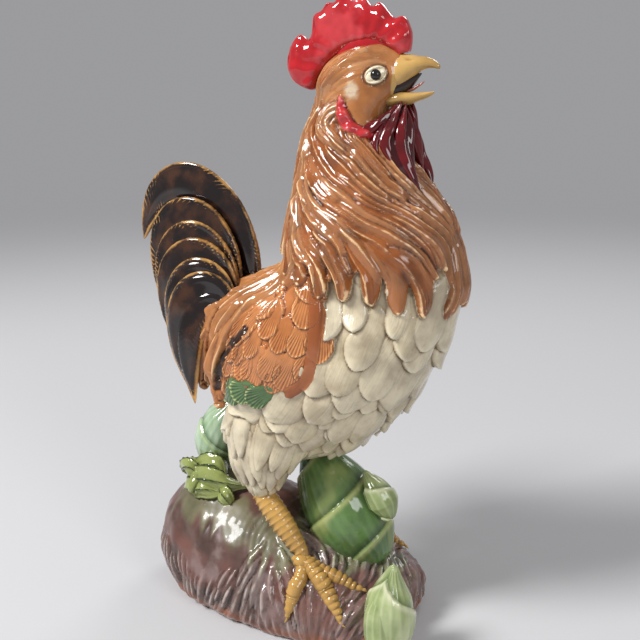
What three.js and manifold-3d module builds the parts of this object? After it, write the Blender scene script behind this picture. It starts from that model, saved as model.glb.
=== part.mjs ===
// A glazed ceramic rooster on a rock among bamboo shoots, as the clay pieces that a potter presses,
// casts and joins with slip before the firing. Millimetres, +Z up, beak towards +X, left side towards +Y.
import * as THREE from 'three';
import { mergeVertices } from 'three/addons/utils/BufferGeometryUtils.js';
import Module from 'manifold-3d';

const wasm = await Module();
wasm.setup();

// Clearance between two pieces where their joint runs
const SEAM = 0.3;

// Rock: a hollow mound, open below, high at the tail and low at the chest
const ROCK_LENGTH = 210;
const ROCK_WIDTH = 128;
const ROCK_HEIGHT = 92;
const ROCK_WAIST = 16;
const ROCK_KEEL = 56;
const ROCK_WALL = 9;
const ROCK_BACK = -113;
const ROCK_RIDGE = 1.8;
const ROCK_RIDGES = 10;

// Legs: where the feet stand on the rock, and the ankles over them
const FOOT_FORWARD = 33;
const ANKLE_BACK = 39;
const FOOT_SPREAD = 42;
const HIP_SPREAD = 38;
const LEG_HEIGHT = 50;
const STRIDE = 4;
const SHANK_RADIUS = 9.5;
const FETLOCK_RADIUS = 7.4;
const TOE_RADIUS = 5.2;
const TOE_LENGTH = 46;
const INNER_HEADING = -8;
const MIDDLE_HEADING = 22;
const OUTER_HEADING = 110;
const HIND_HEADING = 185;
const SPUR_LENGTH = 15;
const THIGH_LENGTH = 80;
const THIGH_WIDTH = 60;
const THIGH_THICKNESS = 44;

// Torso: a hollow egg that leans forward
const TORSO_LENGTH = 186;
const TORSO_WIDTH = 124;
const TORSO_DEPTH = 150;
const TORSO_WALL = 8;
const BELLY_CLEARANCE = 68;
const TORSO_BACK = -60;

// Neck, with the bore that lets the steam out of the torso
const NECK_HEIGHT = 175;
const NECK_DEPTH = 122;
const NECK_WIDTH = 104;
const NECK_BORE = 34;
const LOCK_HEIGHT = 4.6;
const LOCKS = 22;
const LOCK_SWEEP = 0.72;

// Head and what it carries
const HEAD_LENGTH = 64;
const HEAD_HEIGHT = 48;
const HEAD_WIDTH = 42;
const COMB_LENGTH = 88;
const COMB_HEIGHT = 56;
const COMB_THICKNESS = 10;
const COMB_BEVEL = 1.4;
const BEAK_LENGTH = 34.5;
const BEAK_WIDTH = 18;
const BEAK_HEIGHT = 28;
const JAW_LENGTH = 34;
const JAW_HEIGHT = 12;
const TONGUE_LENGTH = 23;
const TONGUE_THICKNESS = 2.4;
const EYE_WIDTH = 15;
const EYE_HEIGHT = 12.6;
const EYE_DEPTH = 8;
const WATTLE_LENGTH = 62;
const WATTLE_WIDTH = 22;
const WATTLE_THICKNESS = 8;

// Wings
const WING_LENGTH = 116;
const WING_WIDTH = 56;
const WING_THICKNESS = 22;

// Tail and saddle feathers
const TAIL_SIZE = 100;
const PLUME_THICKNESS = 7;
const PLUME_STEP = 7.6;
const PLUME_WIDTH = 26;
const SADDLE_THICKNESS = 10;
const SADDLE_WIDTH = 24;

// Bamboo shoots: the large one leans back under the belly and props it, with a bud on its flank
const SHOOT_RADIUS = 31;
const SHOOT_LEAN = 60;
const SHOOT_SIDE = 2;
const SHOOT_SINK = 8;
const BUD_RADIUS = 11;
const BUD_LENGTH = 36;
const BUD_START = 22;
const BUD_TURN = 0.25;
const REAR_SHOOT_RADIUS = 19;
const REAR_SHOOT_HEIGHT = 62;
const REAR_SHOOT_LEAN = 24;
const REAR_SHOOT_SIDE = 8;
const REAR_SHOOT_SINK = 6;
const FRONT_SHOOT_RADIUS = 17;
const FRONT_SHOOT_HEIGHT = 72;
const VINE_RADIUS = 6;

const FORWARD = new THREE.Vector3(1, 0, 0);
const LEFT = new THREE.Vector3(0, 1, 0);
const UP = new THREE.Vector3(0, 0, 1);

// A closed form that swells and tapers along a path. A row is [x, y, z, wide, over, under]: a point of
// the path, the half width of the section there, and how far it reaches over and under the path.
// ends says how blunt the first and last end are: 1 is round, less is blunter and more is sharper.
// along keeps every section square to one direction, and grow is the thickness of a skin put on.
// carve turns the way round the section and the share of the path into a new way round it and a height
// that stands proud of the plain form there.
function swell({ rows, ends = [1, 1], along = null, sides = 16, rings = 12, carve = null }, grow = 0) {
  const path = new THREE.CatmullRomCurve3(rows.map(([x, y, z]) => new THREE.Vector3(x, y, z)));
  const girth = new THREE.CatmullRomCurve3(rows.map((row) => new THREE.Vector3(...row.slice(3))));
  const ball = new THREE.SphereGeometry(1, sides, rings);
  const place = ball.attributes.position;
  for (let i = 0; i < place.count; i += 1) {
    const axial = THREE.MathUtils.clamp(place.getY(i), -1, 1);
    const share = (1 - axial) / 2;
    const round = Math.sqrt(1 - axial * axial);
    const fullness = round ** THREE.MathUtils.lerp(ends[0], ends[1], share);
    const plain = Math.atan2(place.getZ(i), place.getX(i));
    const { turn, proud } = carve ? carve(plain, share) : { turn: plain, proud: 0 };
    const across = round > 0 ? Math.cos(turn) : 0;
    const upward = round > 0 ? Math.sin(turn) : 0;
    const tangent = along ?? path.getTangent(share);
    const side = LEFT.clone().addScaledVector(tangent, -LEFT.dot(tangent)).normalize();
    const rise = tangent.clone().cross(side);
    const size = girth.getPoint(share);
    const wide = size.x * fullness + (grow + proud) * round;
    const high = (upward > 0 ? size.y : size.z) * fullness + (grow + proud) * round;
    const point = path.getPoint(share)
      .addScaledVector(tangent, -axial * grow)
      .addScaledVector(side, across * wide)
      .addScaledVector(rise, upward * high);
    place.setXYZ(i, point.x, point.y, point.z);
  }
  return solidOf(ball);
}

// A three.js geometry as a solid that can be cut
function solidOf(geometry) {
  const bare = geometry.index ? geometry.toNonIndexed() : geometry.clone();
  bare.deleteAttribute('normal');
  bare.deleteAttribute('uv');
  const merged = mergeVertices(bare, 1e-4);
  return new wasm.Manifold(new wasm.Mesh({
    numProp: 3,
    vertProperties: merged.attributes.position.array,
    triVerts: new Uint32Array(merged.index.array),
  }));
}

// A form cut back from its neighbours by the seam
function cutBy(form, ...neighbours) {
  return neighbours.reduce((rest, near) => rest.subtract(swell(near, SEAM)), swell(form));
}

// The same form on the other side of the bird
function mirrored(form) {
  return { ...form, rows: form.rows.map(([x, y, ...rest]) => [x, -y, ...rest]) };
}

// The section of a form along X at one x: its middle height and its sizes
function sectionAt({ rows, ends }, x) {
  const path = new THREE.CatmullRomCurve3(rows.map(([px, py, pz]) => new THREE.Vector3(px, py, pz)));
  const girth = new THREE.CatmullRomCurve3(rows.map((row) => new THREE.Vector3(...row.slice(3))));
  let low = 0;
  let high = 1;
  for (let step = 0; step < 40; step += 1) {
    const middle = (low + high) / 2;
    if (path.getPoint(middle).x < x) low = middle;
    else high = middle;
  }
  const round = 2 * Math.sqrt(low * (1 - low));
  const fullness = round ** THREE.MathUtils.lerp(ends[0], ends[1], low);
  const size = girth.getPoint(low).multiplyScalar(fullness);
  return { middle: path.getPoint(low).z, wide: size.x, over: size.y, under: size.z };
}

// How high the top of a form along X stands over (x, y)
function topOf(form, x, y) {
  const { middle, wide, over } = sectionAt(form, x);
  return middle + over * Math.sqrt(Math.max(0, 1 - (y / wide) ** 2));
}

// How low the underside of a form along X hangs at (x, y)
function bottomOf(form, x, y) {
  const { middle, wide, under } = sectionAt(form, x);
  return middle - under * Math.sqrt(Math.max(0, 1 - (y / wide) ** 2));
}

// The half width of a form along X at (x, z)
function flankOf(form, x, z) {
  const { middle, wide, over, under } = sectionAt(form, x);
  const high = z > middle ? over : under;
  return wide * Math.sqrt(Math.max(0, 1 - ((z - middle) / high) ** 2));
}

// Rock rows: shares of the half width, of the height over the waist, and how far the waist is lifted
const ROCK_ROWS = [
  [0.875, 0.96, 22],
  [0.93, 0.98, 14],
  [0.93, 0.94, 8],
  [0.95, 0.89, 2],
  [1.0, 0.74, -1],
  [1.04, 0.56, -1],
  [1.04, 0.4, 0],
];
const rock = {
  rows: ROCK_ROWS.map(([wide, over, lift], i) => [
    ROCK_BACK + (ROCK_LENGTH * i) / (ROCK_ROWS.length - 1),
    0,
    ROCK_WAIST + lift,
    (wide * ROCK_WIDTH) / 2,
    over * (ROCK_HEIGHT - ROCK_WAIST),
    ROCK_KEEL,
  ]),
  ends: [0.9, 0.42],
  along: FORWARD,
  sides: 24,
  rings: 2 * ROCK_RIDGES,
  carve: rockRidge,
};

// A ridge runs down both flanks of the rock on every other ring of it
function rockRidge(turn, share) {
  const ring = (Math.acos(1 - 2 * share) / Math.PI) * 2 * ROCK_RIDGES;
  const crest = Math.sin((ring * Math.PI) / 2) ** 2;
  return { turn, proud: ROCK_RIDGE * crest * Math.cos(turn) ** 2 };
}

// The plane that the rock stands on, as a slab that cuts away what lies under it
function below(height) {
  const reach = 2 * (ROCK_LENGTH + ROCK_WIDTH);
  const slab = new THREE.BoxGeometry(reach, reach, reach);
  slab.translate(0, 0, height - reach / 2);
  return solidOf(slab);
}

// Torso rows: shares of the depth that the middle rises, of the half width and of the half depth
const footing = topOf(rock, FOOT_FORWARD, FOOT_SPREAD);
const TORSO_ROWS = [
  [0.14, 0.81, 0.79],
  [0.03, 0.94, 0.9],
  [0, 1, 0.97],
  [0.08, 1, 1],
  [0.23, 0.94, 0.97],
  [0.43, 0.84, 0.92],
];
const torsoMiddle = footing + BELLY_CLEARANCE + TORSO_DEPTH / 2;
const torso = {
  rows: TORSO_ROWS.map(([lift, wide, deep], i) => [
    TORSO_BACK + (TORSO_LENGTH * i) / (TORSO_ROWS.length - 1),
    0,
    torsoMiddle + lift * TORSO_DEPTH,
    (wide * TORSO_WIDTH) / 2,
    (deep * TORSO_DEPTH) / 2,
    (deep * TORSO_DEPTH) / 2,
  ]),
  ends: [1, 1],
  along: FORWARD,
  sides: 24,
  rings: 14,
};

// Neck rows: shares of the length forward of the torso's back, then of the neck's width and depth
const NECK_ROWS = [
  [0.645, 0.96, 0.98],
  [0.645, 1, 1],
  [0.655, 0.95, 0.9],
  [0.61, 0.75, 0.7],
  [0.56, 0.5, 0.5],
  [0.57, 0.4, 0.38],
];
const neckFoot = torsoMiddle + 0.14 * TORSO_DEPTH;
const neckRows = (width, depth) => NECK_ROWS.map(([forward, wide, deep], i) => [
  TORSO_BACK + forward * TORSO_LENGTH,
  0,
  neckFoot + (NECK_HEIGHT * i) / (NECK_ROWS.length - 1),
  (wide * width) / 2,
  (deep * depth) / 2,
  (deep * depth) / 2,
]);
const neck = {
  rows: neckRows(NECK_WIDTH, NECK_DEPTH),
  ends: [0.35, 0.35],
  along: UP,
  sides: 4 * LOCKS,
  rings: 14,
  carve: hackleLock,
};

// The hackle hangs in locks, one crest to every four columns, which sweep forward on their way down
// and grow from the head to the breast
function hackleLock(turn, share) {
  const crest = (1 + Math.cos(LOCKS * turn)) / 2;
  const swept = turn - LOCK_SWEEP * (1 - share) * Math.cos(turn);
  return { turn: swept, proud: LOCK_HEIGHT * crest * (1 - share * share) };
}
const neckTop = neck.rows[neck.rows.length - 1];

// The bore runs down the neck into the torso
const bore = {
  rows: [
    [neck.rows[1][0], 0, torsoMiddle, NECK_BORE / 2, NECK_BORE / 2, NECK_BORE / 2],
    [neck.rows[2][0], 0, neck.rows[2][2], NECK_BORE / 2, NECK_BORE / 2, NECK_BORE / 2],
    [neck.rows[3][0], 0, neck.rows[3][2], NECK_BORE / 2.4, NECK_BORE / 2.4, NECK_BORE / 2.4],
  ],
  ends: [0.3, 0.6],
  along: UP,
  sides: 10,
  rings: 6,
};

// Head rows: shares of the height that the middle rises, of the half width and of the half height
const headX = neckTop[0] - 0.41 * HEAD_LENGTH;
const headZ = neckTop[2] - 0.08 * HEAD_HEIGHT;
const HEAD_ROWS = [
  [-0.12, 0.88, 1],
  [-0.06, 0.98, 1.02],
  [0, 1, 1.02],
  [0.06, 0.92, 0.95],
  [0.1, 0.72, 0.8],
];
const head = {
  rows: HEAD_ROWS.map(([lift, wide, deep], i) => [
    headX + (HEAD_LENGTH * i) / (HEAD_ROWS.length - 1),
    0,
    headZ + lift * HEAD_HEIGHT,
    (wide * HEAD_WIDTH) / 2,
    (deep * HEAD_HEIGHT) / 2,
    (deep * HEAD_HEIGHT) / 2,
  ]),
  ends: [0.9, 0.75],
  along: FORWARD,
  sides: 18,
  rings: 12,
};
const headMiddle = headX + HEAD_LENGTH / 2;
const face = headX + HEAD_LENGTH;

// Comb: points on its outline, as shares of its length and height from the middle of the head
const COMB_OUTLINE = [
  [-0.39, -0.1], [-0.49, -0.05], [-0.57, 0.05], [-0.605, 0.2], [-0.59, 0.35], [-0.56, 0.46],
  [-0.49, 0.57], [-0.46, 0.53], [-0.43, 0.47], [-0.4, 0.52], [-0.385, 0.74], [-0.355, 0.8],
  [-0.31, 0.79], [-0.28, 0.91], [-0.24, 0.9], [-0.21, 0.85], [-0.19, 0.95], [-0.15, 1.01],
  [-0.1, 0.95], [-0.055, 0.87], [-0.03, 0.95], [0.005, 0.99], [0.045, 0.91], [0.09, 0.81],
  [0.115, 0.87], [0.145, 0.89], [0.18, 0.84], [0.25, 0.71], [0.285, 0.71], [0.32, 0.75],
  [0.345, 0.71], [0.38, 0.6], [0.395, 0.5], [0.375, 0.3], [0.3, 0.18], [0.1, 0.16],
  [-0.12, 0.06], [-0.28, -0.06],
];
function combForm() {
  const outline = new THREE.Shape();
  const points = COMB_OUTLINE.map(([x, z]) => new THREE.Vector2(x * COMB_LENGTH, z * COMB_HEIGHT));
  const edge = new THREE.SplineCurve([...points, points[0]]);
  outline.setFromPoints(edge.getPoints(Math.round(1.6 * points.length)));
  const plate = new THREE.ExtrudeGeometry(outline, {
    depth: COMB_THICKNESS - 2 * COMB_BEVEL,
    bevelThickness: COMB_BEVEL,
    bevelSize: COMB_BEVEL,
    bevelOffset: -COMB_BEVEL,
    bevelSegments: 1,
    steps: 1,
  });
  plate.rotateX(Math.PI / 2);
  plate.translate(headMiddle, COMB_THICKNESS / 2 - COMB_BEVEL, headZ);
  return solidOf(plate);
}

// Beak: the upper half hooks down at its tip, the lower half hangs open, the tongue stands in the gape.
// Rows are shares of the length, of the head's height over its middle, and of the width and height.
const mouthpart = (start, length, width, height, rows) => ({
  rows: rows.map(([along, lift, wide, high]) => [
    start + along * length,
    0,
    headZ + lift * HEAD_HEIGHT,
    (wide * width) / 2,
    (high * height) / 2,
    (high * height) / 2,
  ]),
  ends: [0.6, 0.7],
  sides: 10,
  rings: 10,
});
const beak = mouthpart(face - 0.22 * HEAD_LENGTH, BEAK_LENGTH, BEAK_WIDTH, BEAK_HEIGHT, [
  [0, 0.04, 1, 1],
  [0.29, 0.17, 1, 0.82],
  [0.55, 0.24, 0.72, 0.52],
  [0.78, 0.267, 0.44, 0.25],
  [1, 0.233, 0.2, 0.12],
]);
const jaw = mouthpart(face - 0.25 * HEAD_LENGTH, JAW_LENGTH, BEAK_WIDTH, JAW_HEIGHT, [
  [0, -0.29, 0.9, 1],
  [0.42, -0.24, 0.8, 0.86],
  [0.74, -0.16, 0.58, 0.58],
  [1, -0.09, 0.32, 0.32],
]);
const tongue = mouthpart(face - 0.16 * HEAD_LENGTH, TONGUE_LENGTH, BEAK_WIDTH, TONGUE_THICKNESS, [
  [0, -0.18, 0.4, 1],
  [0.55, -0.096, 0.34, 1],
  [1, 0.033, 0.18, 0.8],
]);

// Eyes: balls pressed into sockets, with their middles in the skin of the head
const eyeX = headX + 0.73 * HEAD_LENGTH;
const eyeZ = headZ + 0.12 * HEAD_HEIGHT;
const eyeY = flankOf(head, eyeX, eyeZ) - 0.25 * EYE_DEPTH;
const eyeRight = {
  rows: [-1, 0, 1].map((end) => [
    eyeX + (end * EYE_WIDTH) / 2,
    -eyeY,
    eyeZ,
    EYE_DEPTH / 2,
    EYE_HEIGHT / 2,
    EYE_HEIGHT / 2,
  ]),
  ends: [1, 1],
  along: FORWARD,
  sides: 10,
  rings: 8,
};

// Wattles hang from the throat behind the lower beak. Rows are shares of the wattle's width forward of
// the face, of the head's width, of the wattle's length down, and of its width.
const wattleTop = headZ - 0.3 * HEAD_HEIGHT;
const WATTLE_ROWS = [
  [-0.27, 0.24, 0, 0.9],
  [-0.36, 0.32, 0.25, 1],
  [-0.18, 0.44, 0.5, 0.9],
  [0.27, 0.42, 0.75, 0.6],
  [0.68, 0.34, 1, 0.35],
];
const wattleRight = {
  rows: WATTLE_ROWS.map(([forward, out, down, wide]) => [
    face + forward * WATTLE_WIDTH,
    -out * HEAD_WIDTH,
    wattleTop - down * WATTLE_LENGTH,
    WATTLE_THICKNESS / 2,
    (wide * WATTLE_WIDTH) / 2,
    (wide * WATTLE_WIDTH) / 2,
  ]),
  ends: [0.6, 0.9],
  sides: 10,
  rings: 10,
};

// Wing rows: shares of the wing's length down and forward, of the torso's half width, and of the wing
const shoulderX = TORSO_BACK + 0.56 * TORSO_LENGTH;
const shoulderZ = torsoMiddle + 0.55 * TORSO_DEPTH;
const WING_ROWS = [
  [0, 0, 0.74, 0.7, 0.6],
  [-0.07, 0.26, 0.8, 0.95, 0.78],
  [-0.17, 0.54, 0.91, 1, 1],
  [-0.33, 0.74, 0.9, 0.9, 0.82],
  [-0.56, 0.87, 0.86, 0.6, 0.4],
];
const wingRight = {
  rows: WING_ROWS.map(([forward, down, out, thick, wide]) => [
    shoulderX + forward * WING_LENGTH,
    (-out * TORSO_WIDTH) / 2,
    shoulderZ - down * WING_LENGTH,
    (thick * WING_THICKNESS) / 2,
    (wide * WING_WIDTH) / 2,
    (wide * WING_WIDTH) / 2,
  ]),
  ends: [0.8, 0.8],
  sides: 14,
  rings: 10,
};

// One leg: the thigh hangs from the torso, the shank runs from the thigh down to the rock.
// hip is 1 on the left side and -1 on the right side.
function leg(hip) {
  const footX = hip > 0 ? FOOT_FORWARD + STRIDE : FOOT_FORWARD;
  const footY = hip * FOOT_SPREAD;
  const footZ = topOf(rock, footX, footY);
  const ankle = [footX - ANKLE_BACK, hip * HIP_SPREAD, footing + LEG_HEIGHT];
  const thigh = {
    rows: [
      [0.1, 1, 1, 1.05, 1.1],
      [0.06, 0.66, 1, 1.1, 1.05],
      [0.01, 0.33, 0.75, 0.75, 0.85],
      [0, 0, 0.48, 0.46, 0.5],
    ].map(([forward, up, wide, over, under]) => [
      ankle[0] + forward * THIGH_LENGTH,
      ankle[1],
      ankle[2] + (up - 0.04) * THIGH_LENGTH,
      (wide * THIGH_THICKNESS) / 2,
      (over * THIGH_WIDTH) / 2,
      (under * THIGH_WIDTH) / 2,
    ]),
    ends: [0.5, 0.5],
    sides: 14,
    rings: 8,
  };
  const shank = {
    rows: [
      [-0.13, -0.15, SHANK_RADIUS],
      [0.5, 0.5, FETLOCK_RADIUS],
      [1, 1, FETLOCK_RADIUS],
    ].map(([forward, down, radius]) => [
      THREE.MathUtils.lerp(ankle[0], footX, forward),
      THREE.MathUtils.lerp(ankle[1], footY, down),
      THREE.MathUtils.lerp(ankle[2], footZ + 2, down),
      ...Array(3).fill(radius),
    ]),
    ends: [0.3, 0.7],
    sides: 10,
    rings: 7,
  };
  return { thigh, shank, footX, footY };
}

// A toe lies on the rock from the foot towards a heading, in degrees left of forward. Each step goes as
// far over the rock's slope as the last, and the toe's middle stands off the rock along its normal.
const TOE_STEPS = 4;
const TOE_SINK = 0.5;
const PROBE = 0.5;
function toe({ footX, footY }, heading, length, radius) {
  const turn = THREE.MathUtils.degToRad(heading);
  const rows = [];
  let x = footX;
  let y = footY;
  for (let step = 0; step <= TOE_STEPS; step += 1) {
    const z = topOf(rock, x, y);
    const slopeX = (topOf(rock, x + PROBE, y) - z) / PROBE;
    const slopeY = (topOf(rock, x, y + PROBE) - topOf(rock, x, y - PROBE)) / (2 * PROBE);
    const normal = new THREE.Vector3(-slopeX, -slopeY, 1).normalize();
    const middle = new THREE.Vector3(x, y, z).addScaledVector(normal, radius * TOE_SINK);
    const girth = radius * (1.05 - (0.4 * step) / TOE_STEPS);
    rows.push([middle.x, middle.y, middle.z, girth, girth, girth]);
    const slope = slopeX * Math.cos(turn) + slopeY * Math.sin(turn);
    const run = length / TOE_STEPS / Math.hypot(1, slope);
    x += Math.cos(turn) * run;
    y += Math.sin(turn) * run;
  }
  return { rows, ends: [0.6, 0.8], sides: 8, rings: 7 };
}

// A plume: a blade that stands up from its root and curls over to its tip
function plume(root, rise, reach, tip, width, thickness) {
  const points = [root, rise, reach, tip].map((point) => new THREE.Vector3(...point));
  const curve = new THREE.CubicBezierCurve3(...points);
  const fullness = [0.72, 0.95, 1.05, 1, 0.85, 0.45];
  return {
    rows: curve.getPoints(fullness.length - 1).map((point, i) => [
      point.x,
      point.y,
      point.z,
      thickness / 2,
      (fullness[i] * width) / 2,
      (fullness[i] * width) / 2,
    ]),
    ends: [0.5, 0.9],
    sides: 8,
    rings: 11,
  };
}

// Tail: a main sickle in the middle and lesser ones on each side, each further out and lower.
// A curve is [forward, up] from the rump, in shares of the tail's size, for its root, rise, reach and tip.
const rump = [TORSO_BACK + 0.14 * TORSO_LENGTH, torsoMiddle + 0.17 * TORSO_DEPTH];
const at = ([x, z], y) => [rump[0] + x * TAIL_SIZE, y, rump[1] + z * TAIL_SIZE];
const SICKLE_SPREAD = [1, 1, 1.25, 1.4];
const sickle = (curve, y) => plume(
  ...curve.map((point, i) => at(point, y * SICKLE_SPREAD[i])),
  PLUME_WIDTH,
  PLUME_THICKNESS,
);
const mainSickle = sickle([[0.04, 0.12], [-0.04, 0.82], [-0.71, 1.36], [-0.93, 0.5]], 0);
const SICKLES = [
  [[-0.06, 0.12], [-0.14, 0.84], [-0.88, 1.03], [-0.63, -0.1]],
  [[-0.06, 0.05], [-0.08, 0.54], [-0.74, 0.66], [-0.5, -0.28]],
  [[-0.01, -0.01], [-0.08, 0.36], [-0.56, 0.36], [-0.36, -0.52]],
];

// Saddle feathers hang over the flanks, each at its share of the torso's half width
const SADDLES = [
  { out: 0.42, curve: [[0.29, 0.24], [-0.11, 0.14], [-0.34, -0.09], [-0.26, -0.56]] },
  { out: 0.62, curve: [[0.44, 0.21], [0.09, 0.16], [-0.14, -0.14], [-0.04, -0.64]] },
];
const saddle = ({ out, curve }, hip) => plume(
  ...curve.map((point) => at(point, (hip * out * TORSO_WIDTH) / 2)),
  SADDLE_WIDTH,
  SADDLE_THICKNESS,
);

// Bamboo shoots
const stumpX = ROCK_BACK + 0.87 * ROCK_LENGTH;
const stumpZ = topOf(rock, stumpX, 0);
const propX = stumpX - SHOOT_LEAN;
const propZ = bottomOf(torso, propX, 0);
const shoot = {
  rows: [
    [0, 0.94],
    [0.3, 1],
    [0.6, 0.92],
    [0.85, 0.8],
    [1, 0.72],
  ].map(([share, girth]) => [
    THREE.MathUtils.lerp(stumpX, propX, share),
    SHOOT_SIDE,
    THREE.MathUtils.lerp(stumpZ - SHOOT_SINK, propZ + TORSO_WALL / 4, share),
    ...Array(3).fill(girth * SHOOT_RADIUS),
  ]),
  ends: [0.45, 0.5],
  sides: 16,
  rings: 10,
};
const rearShootX = ROCK_BACK + 0.2 * ROCK_LENGTH;
const rearShootZ = topOf(rock, rearShootX, 0);
const rearShoot = {
  rows: [
    [-0.08, 0, 0.8],
    [0, 0.36, 1],
    [0.38, 0.68, 0.9],
    [1, 1, 0.4],
  ].map(([lean, share, girth]) => [
    rearShootX + lean * REAR_SHOOT_LEAN,
    REAR_SHOOT_SIDE,
    rearShootZ - REAR_SHOOT_SINK + share * (REAR_SHOOT_HEIGHT + REAR_SHOOT_SINK),
    ...Array(3).fill(girth * REAR_SHOOT_RADIUS),
  ]),
  ends: [0.5, 0.9],
  sides: 12,
  rings: 10,
};
const frontShootX = ROCK_BACK + 1.0 * ROCK_LENGTH;
const frontShootY = -0.375 * ROCK_WIDTH;
const frontShoot = {
  rows: [
    [0, -0.24, 0.9],
    [0.06, 0.4, 1],
    [0.06, 0.75, 0.75],
    [0.18, 1, 0.3],
  ].map(([lean, share, girth]) => [
    frontShootX + lean * FRONT_SHOOT_RADIUS,
    frontShootY,
    share * FRONT_SHOOT_HEIGHT,
    ...Array(3).fill(girth * FRONT_SHOOT_RADIUS),
  ]),
  ends: [0.3, 1],
  sides: 12,
  rings: 10,
};
// The bud sits on the side shoot's upper flank, from BUD_START along its axis
const shootAxis = new THREE.Vector3(propX - stumpX, 0, propZ - stumpZ).normalize();
const shootFlank = new THREE.Vector3(shootAxis.z, -BUD_TURN, -shootAxis.x).normalize();
const bud = {
  rows: [
    [0, 0.8, 1.05],
    [0.4, 1, 1.17],
    [1, 0.35, 1.1],
  ].map(([share, girth, stand]) => {
    const middle = new THREE.Vector3(stumpX, SHOOT_SIDE, stumpZ)
      .addScaledVector(shootAxis, BUD_START + share * BUD_LENGTH)
      .addScaledVector(shootFlank, stand * SHOOT_RADIUS);
    return [...middle, ...Array(3).fill(girth * BUD_RADIUS)];
  }),
  ends: [0.8, 1],
  sides: 10,
  rings: 8,
};

// The vine lies on the rock round the rear shoot's foot, at shares of that shoot's radius from its middle
const vine = {
  rows: [
    [-0.6, -0.6],
    [0.1, -1.1],
    [1, -1.3],
    [2.1, -1.1],
  ].map(([forward, out]) => {
    const x = rearShootX + forward * REAR_SHOOT_RADIUS;
    const y = out * REAR_SHOOT_RADIUS;
    return [x, y, topOf(rock, x, y) + VINE_RADIUS * 0.6, ...Array(3).fill(VINE_RADIUS)];
  }),
  ends: [0.6, 0.6],
  sides: 8,
  rings: 10,
};

// The figure
const statue = new THREE.Group();

function add(name, solid, color, roughness) {
  const mesh = solid.getMesh();
  const geometry = new THREE.BufferGeometry();
  geometry.setAttribute('position', new THREE.BufferAttribute(mesh.vertProperties, 3));
  geometry.setIndex(new THREE.BufferAttribute(mesh.triVerts, 1));
  const glaze = new THREE.MeshStandardMaterial({ color, roughness, metalness: 0 });
  const piece = new THREE.Mesh(geometry, glaze);
  piece.name = name;
  statue.add(piece);
}

const CREAM = 0xd8cdb2;
const CARAMEL = 0xb4652d;
const AMBER = 0xc58a35;
const RED = 0xbd2030;
const GREEN = 0x4c8548;
const PALE_GREEN = 0xa8bb78;
const OLIVE = 0x8a9442;
const DARK = 0x2c1710;
const UMBER = 0x5a3d39;
const PINK = 0xc07a70;
const BLACK = 0x0c0a09;

// Rock and torso are shells: the outer form less the same form drawn in by the wall
add('rock_base', swell(rock).subtract(swell(rock, -ROCK_WALL)).subtract(below(0)), UMBER, 0.35);
add('torso_shell', swell(torso).subtract(swell(torso, -TORSO_WALL)).subtract(swell(bore)), CREAM, 0.3);
add('neck', cutBy(neck, torso, head).subtract(swell(bore)), CARAMEL, 0.25);

const eyeLeft = mirrored(eyeRight);
add('head', cutBy(head, eyeRight, eyeLeft), CARAMEL, 0.25);
add('comb', combForm().subtract(swell(head, SEAM)).subtract(swell(beak, SEAM)), RED, 0.12);
add('beak_upper', cutBy(beak, head), AMBER, 0.3);
add('beak_lower', cutBy(jaw, head, beak), AMBER, 0.3);
add('tongue', cutBy(tongue, head, beak, jaw), PINK, 0.3);
add('eye_right', swell(eyeRight), BLACK, 0.1);
add('eye_left', swell(eyeLeft), BLACK, 0.1);

const wattleLeft = mirrored(wattleRight);
add('wattle_right', cutBy(wattleRight, head, neck, jaw), RED, 0.12);
add('wattle_left', cutBy(wattleLeft, head, neck, jaw), RED, 0.12);

const wingLeft = mirrored(wingRight);
add('wing_right', cutBy(wingRight, torso, neck), CARAMEL, 0.3);
add('wing_left', cutBy(wingLeft, torso, neck), CARAMEL, 0.3);

const SIDES = { right: -1, left: 1 };
const legs = { right: leg(SIDES.right), left: leg(SIDES.left) };
const wings = { right: wingRight, left: wingLeft };
const limbs = [];
for (const [name, hip] of Object.entries(SIDES)) {
  const limb = legs[name];
  const toes = {
    inner: toe(limb, hip * INNER_HEADING, TOE_LENGTH, TOE_RADIUS),
    middle: toe(limb, hip * MIDDLE_HEADING, TOE_LENGTH, TOE_RADIUS),
    outer: toe(limb, hip * OUTER_HEADING, TOE_LENGTH * 0.9, TOE_RADIUS * 0.9),
    hind: toe(limb, hip * HIND_HEADING, SPUR_LENGTH, TOE_RADIUS),
  };
  add(`thigh_${name}`, cutBy(limb.thigh, torso, wings[name]), CREAM, 0.35);
  add(`shank_${name}`, cutBy(limb.shank, limb.thigh, rock), AMBER, 0.25);
  const laid = [limb.shank, rock];
  for (const [which, form] of Object.entries(toes)) {
    add(`toe_${which}_${name}`, cutBy(form, ...laid), AMBER, 0.25);
    laid.push(form);
  }
  limbs.push(limb.thigh, limb.shank, ...Object.values(toes));
}

add('tail_sickle_main', cutBy(mainSickle, torso), DARK, 0.12);
for (const [name, hip] of Object.entries(SIDES)) {
  let inner = mainSickle;
  SICKLES.forEach((curve, i) => {
    const form = sickle(curve, hip * PLUME_STEP * (i + 1));
    add(`tail_sickle_${name}_${i + 1}`, cutBy(form, torso, inner), DARK, 0.12);
    inner = form;
  });
  SADDLES.forEach((row, i) => {
    const form = saddle(row, hip);
    add(`saddle_${name}_${i + 1}`, cutBy(form, torso, inner, wings[name]), CARAMEL, 0.25);
    inner = form;
  });
}

add('shoot_large', cutBy(shoot, torso, rock, ...limbs), GREEN, 0.15);
add('shoot_bud', cutBy(bud, shoot, rock), PALE_GREEN, 0.15);
add('shoot_rear', cutBy(rearShoot, rock), GREEN, 0.15);
add('shoot_front', cutBy(frontShoot, rock).subtract(below(0)), PALE_GREEN, 0.15);
add('vine', cutBy(vine, rock, rearShoot, legs.right.thigh), OLIVE, 0.15);

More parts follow.
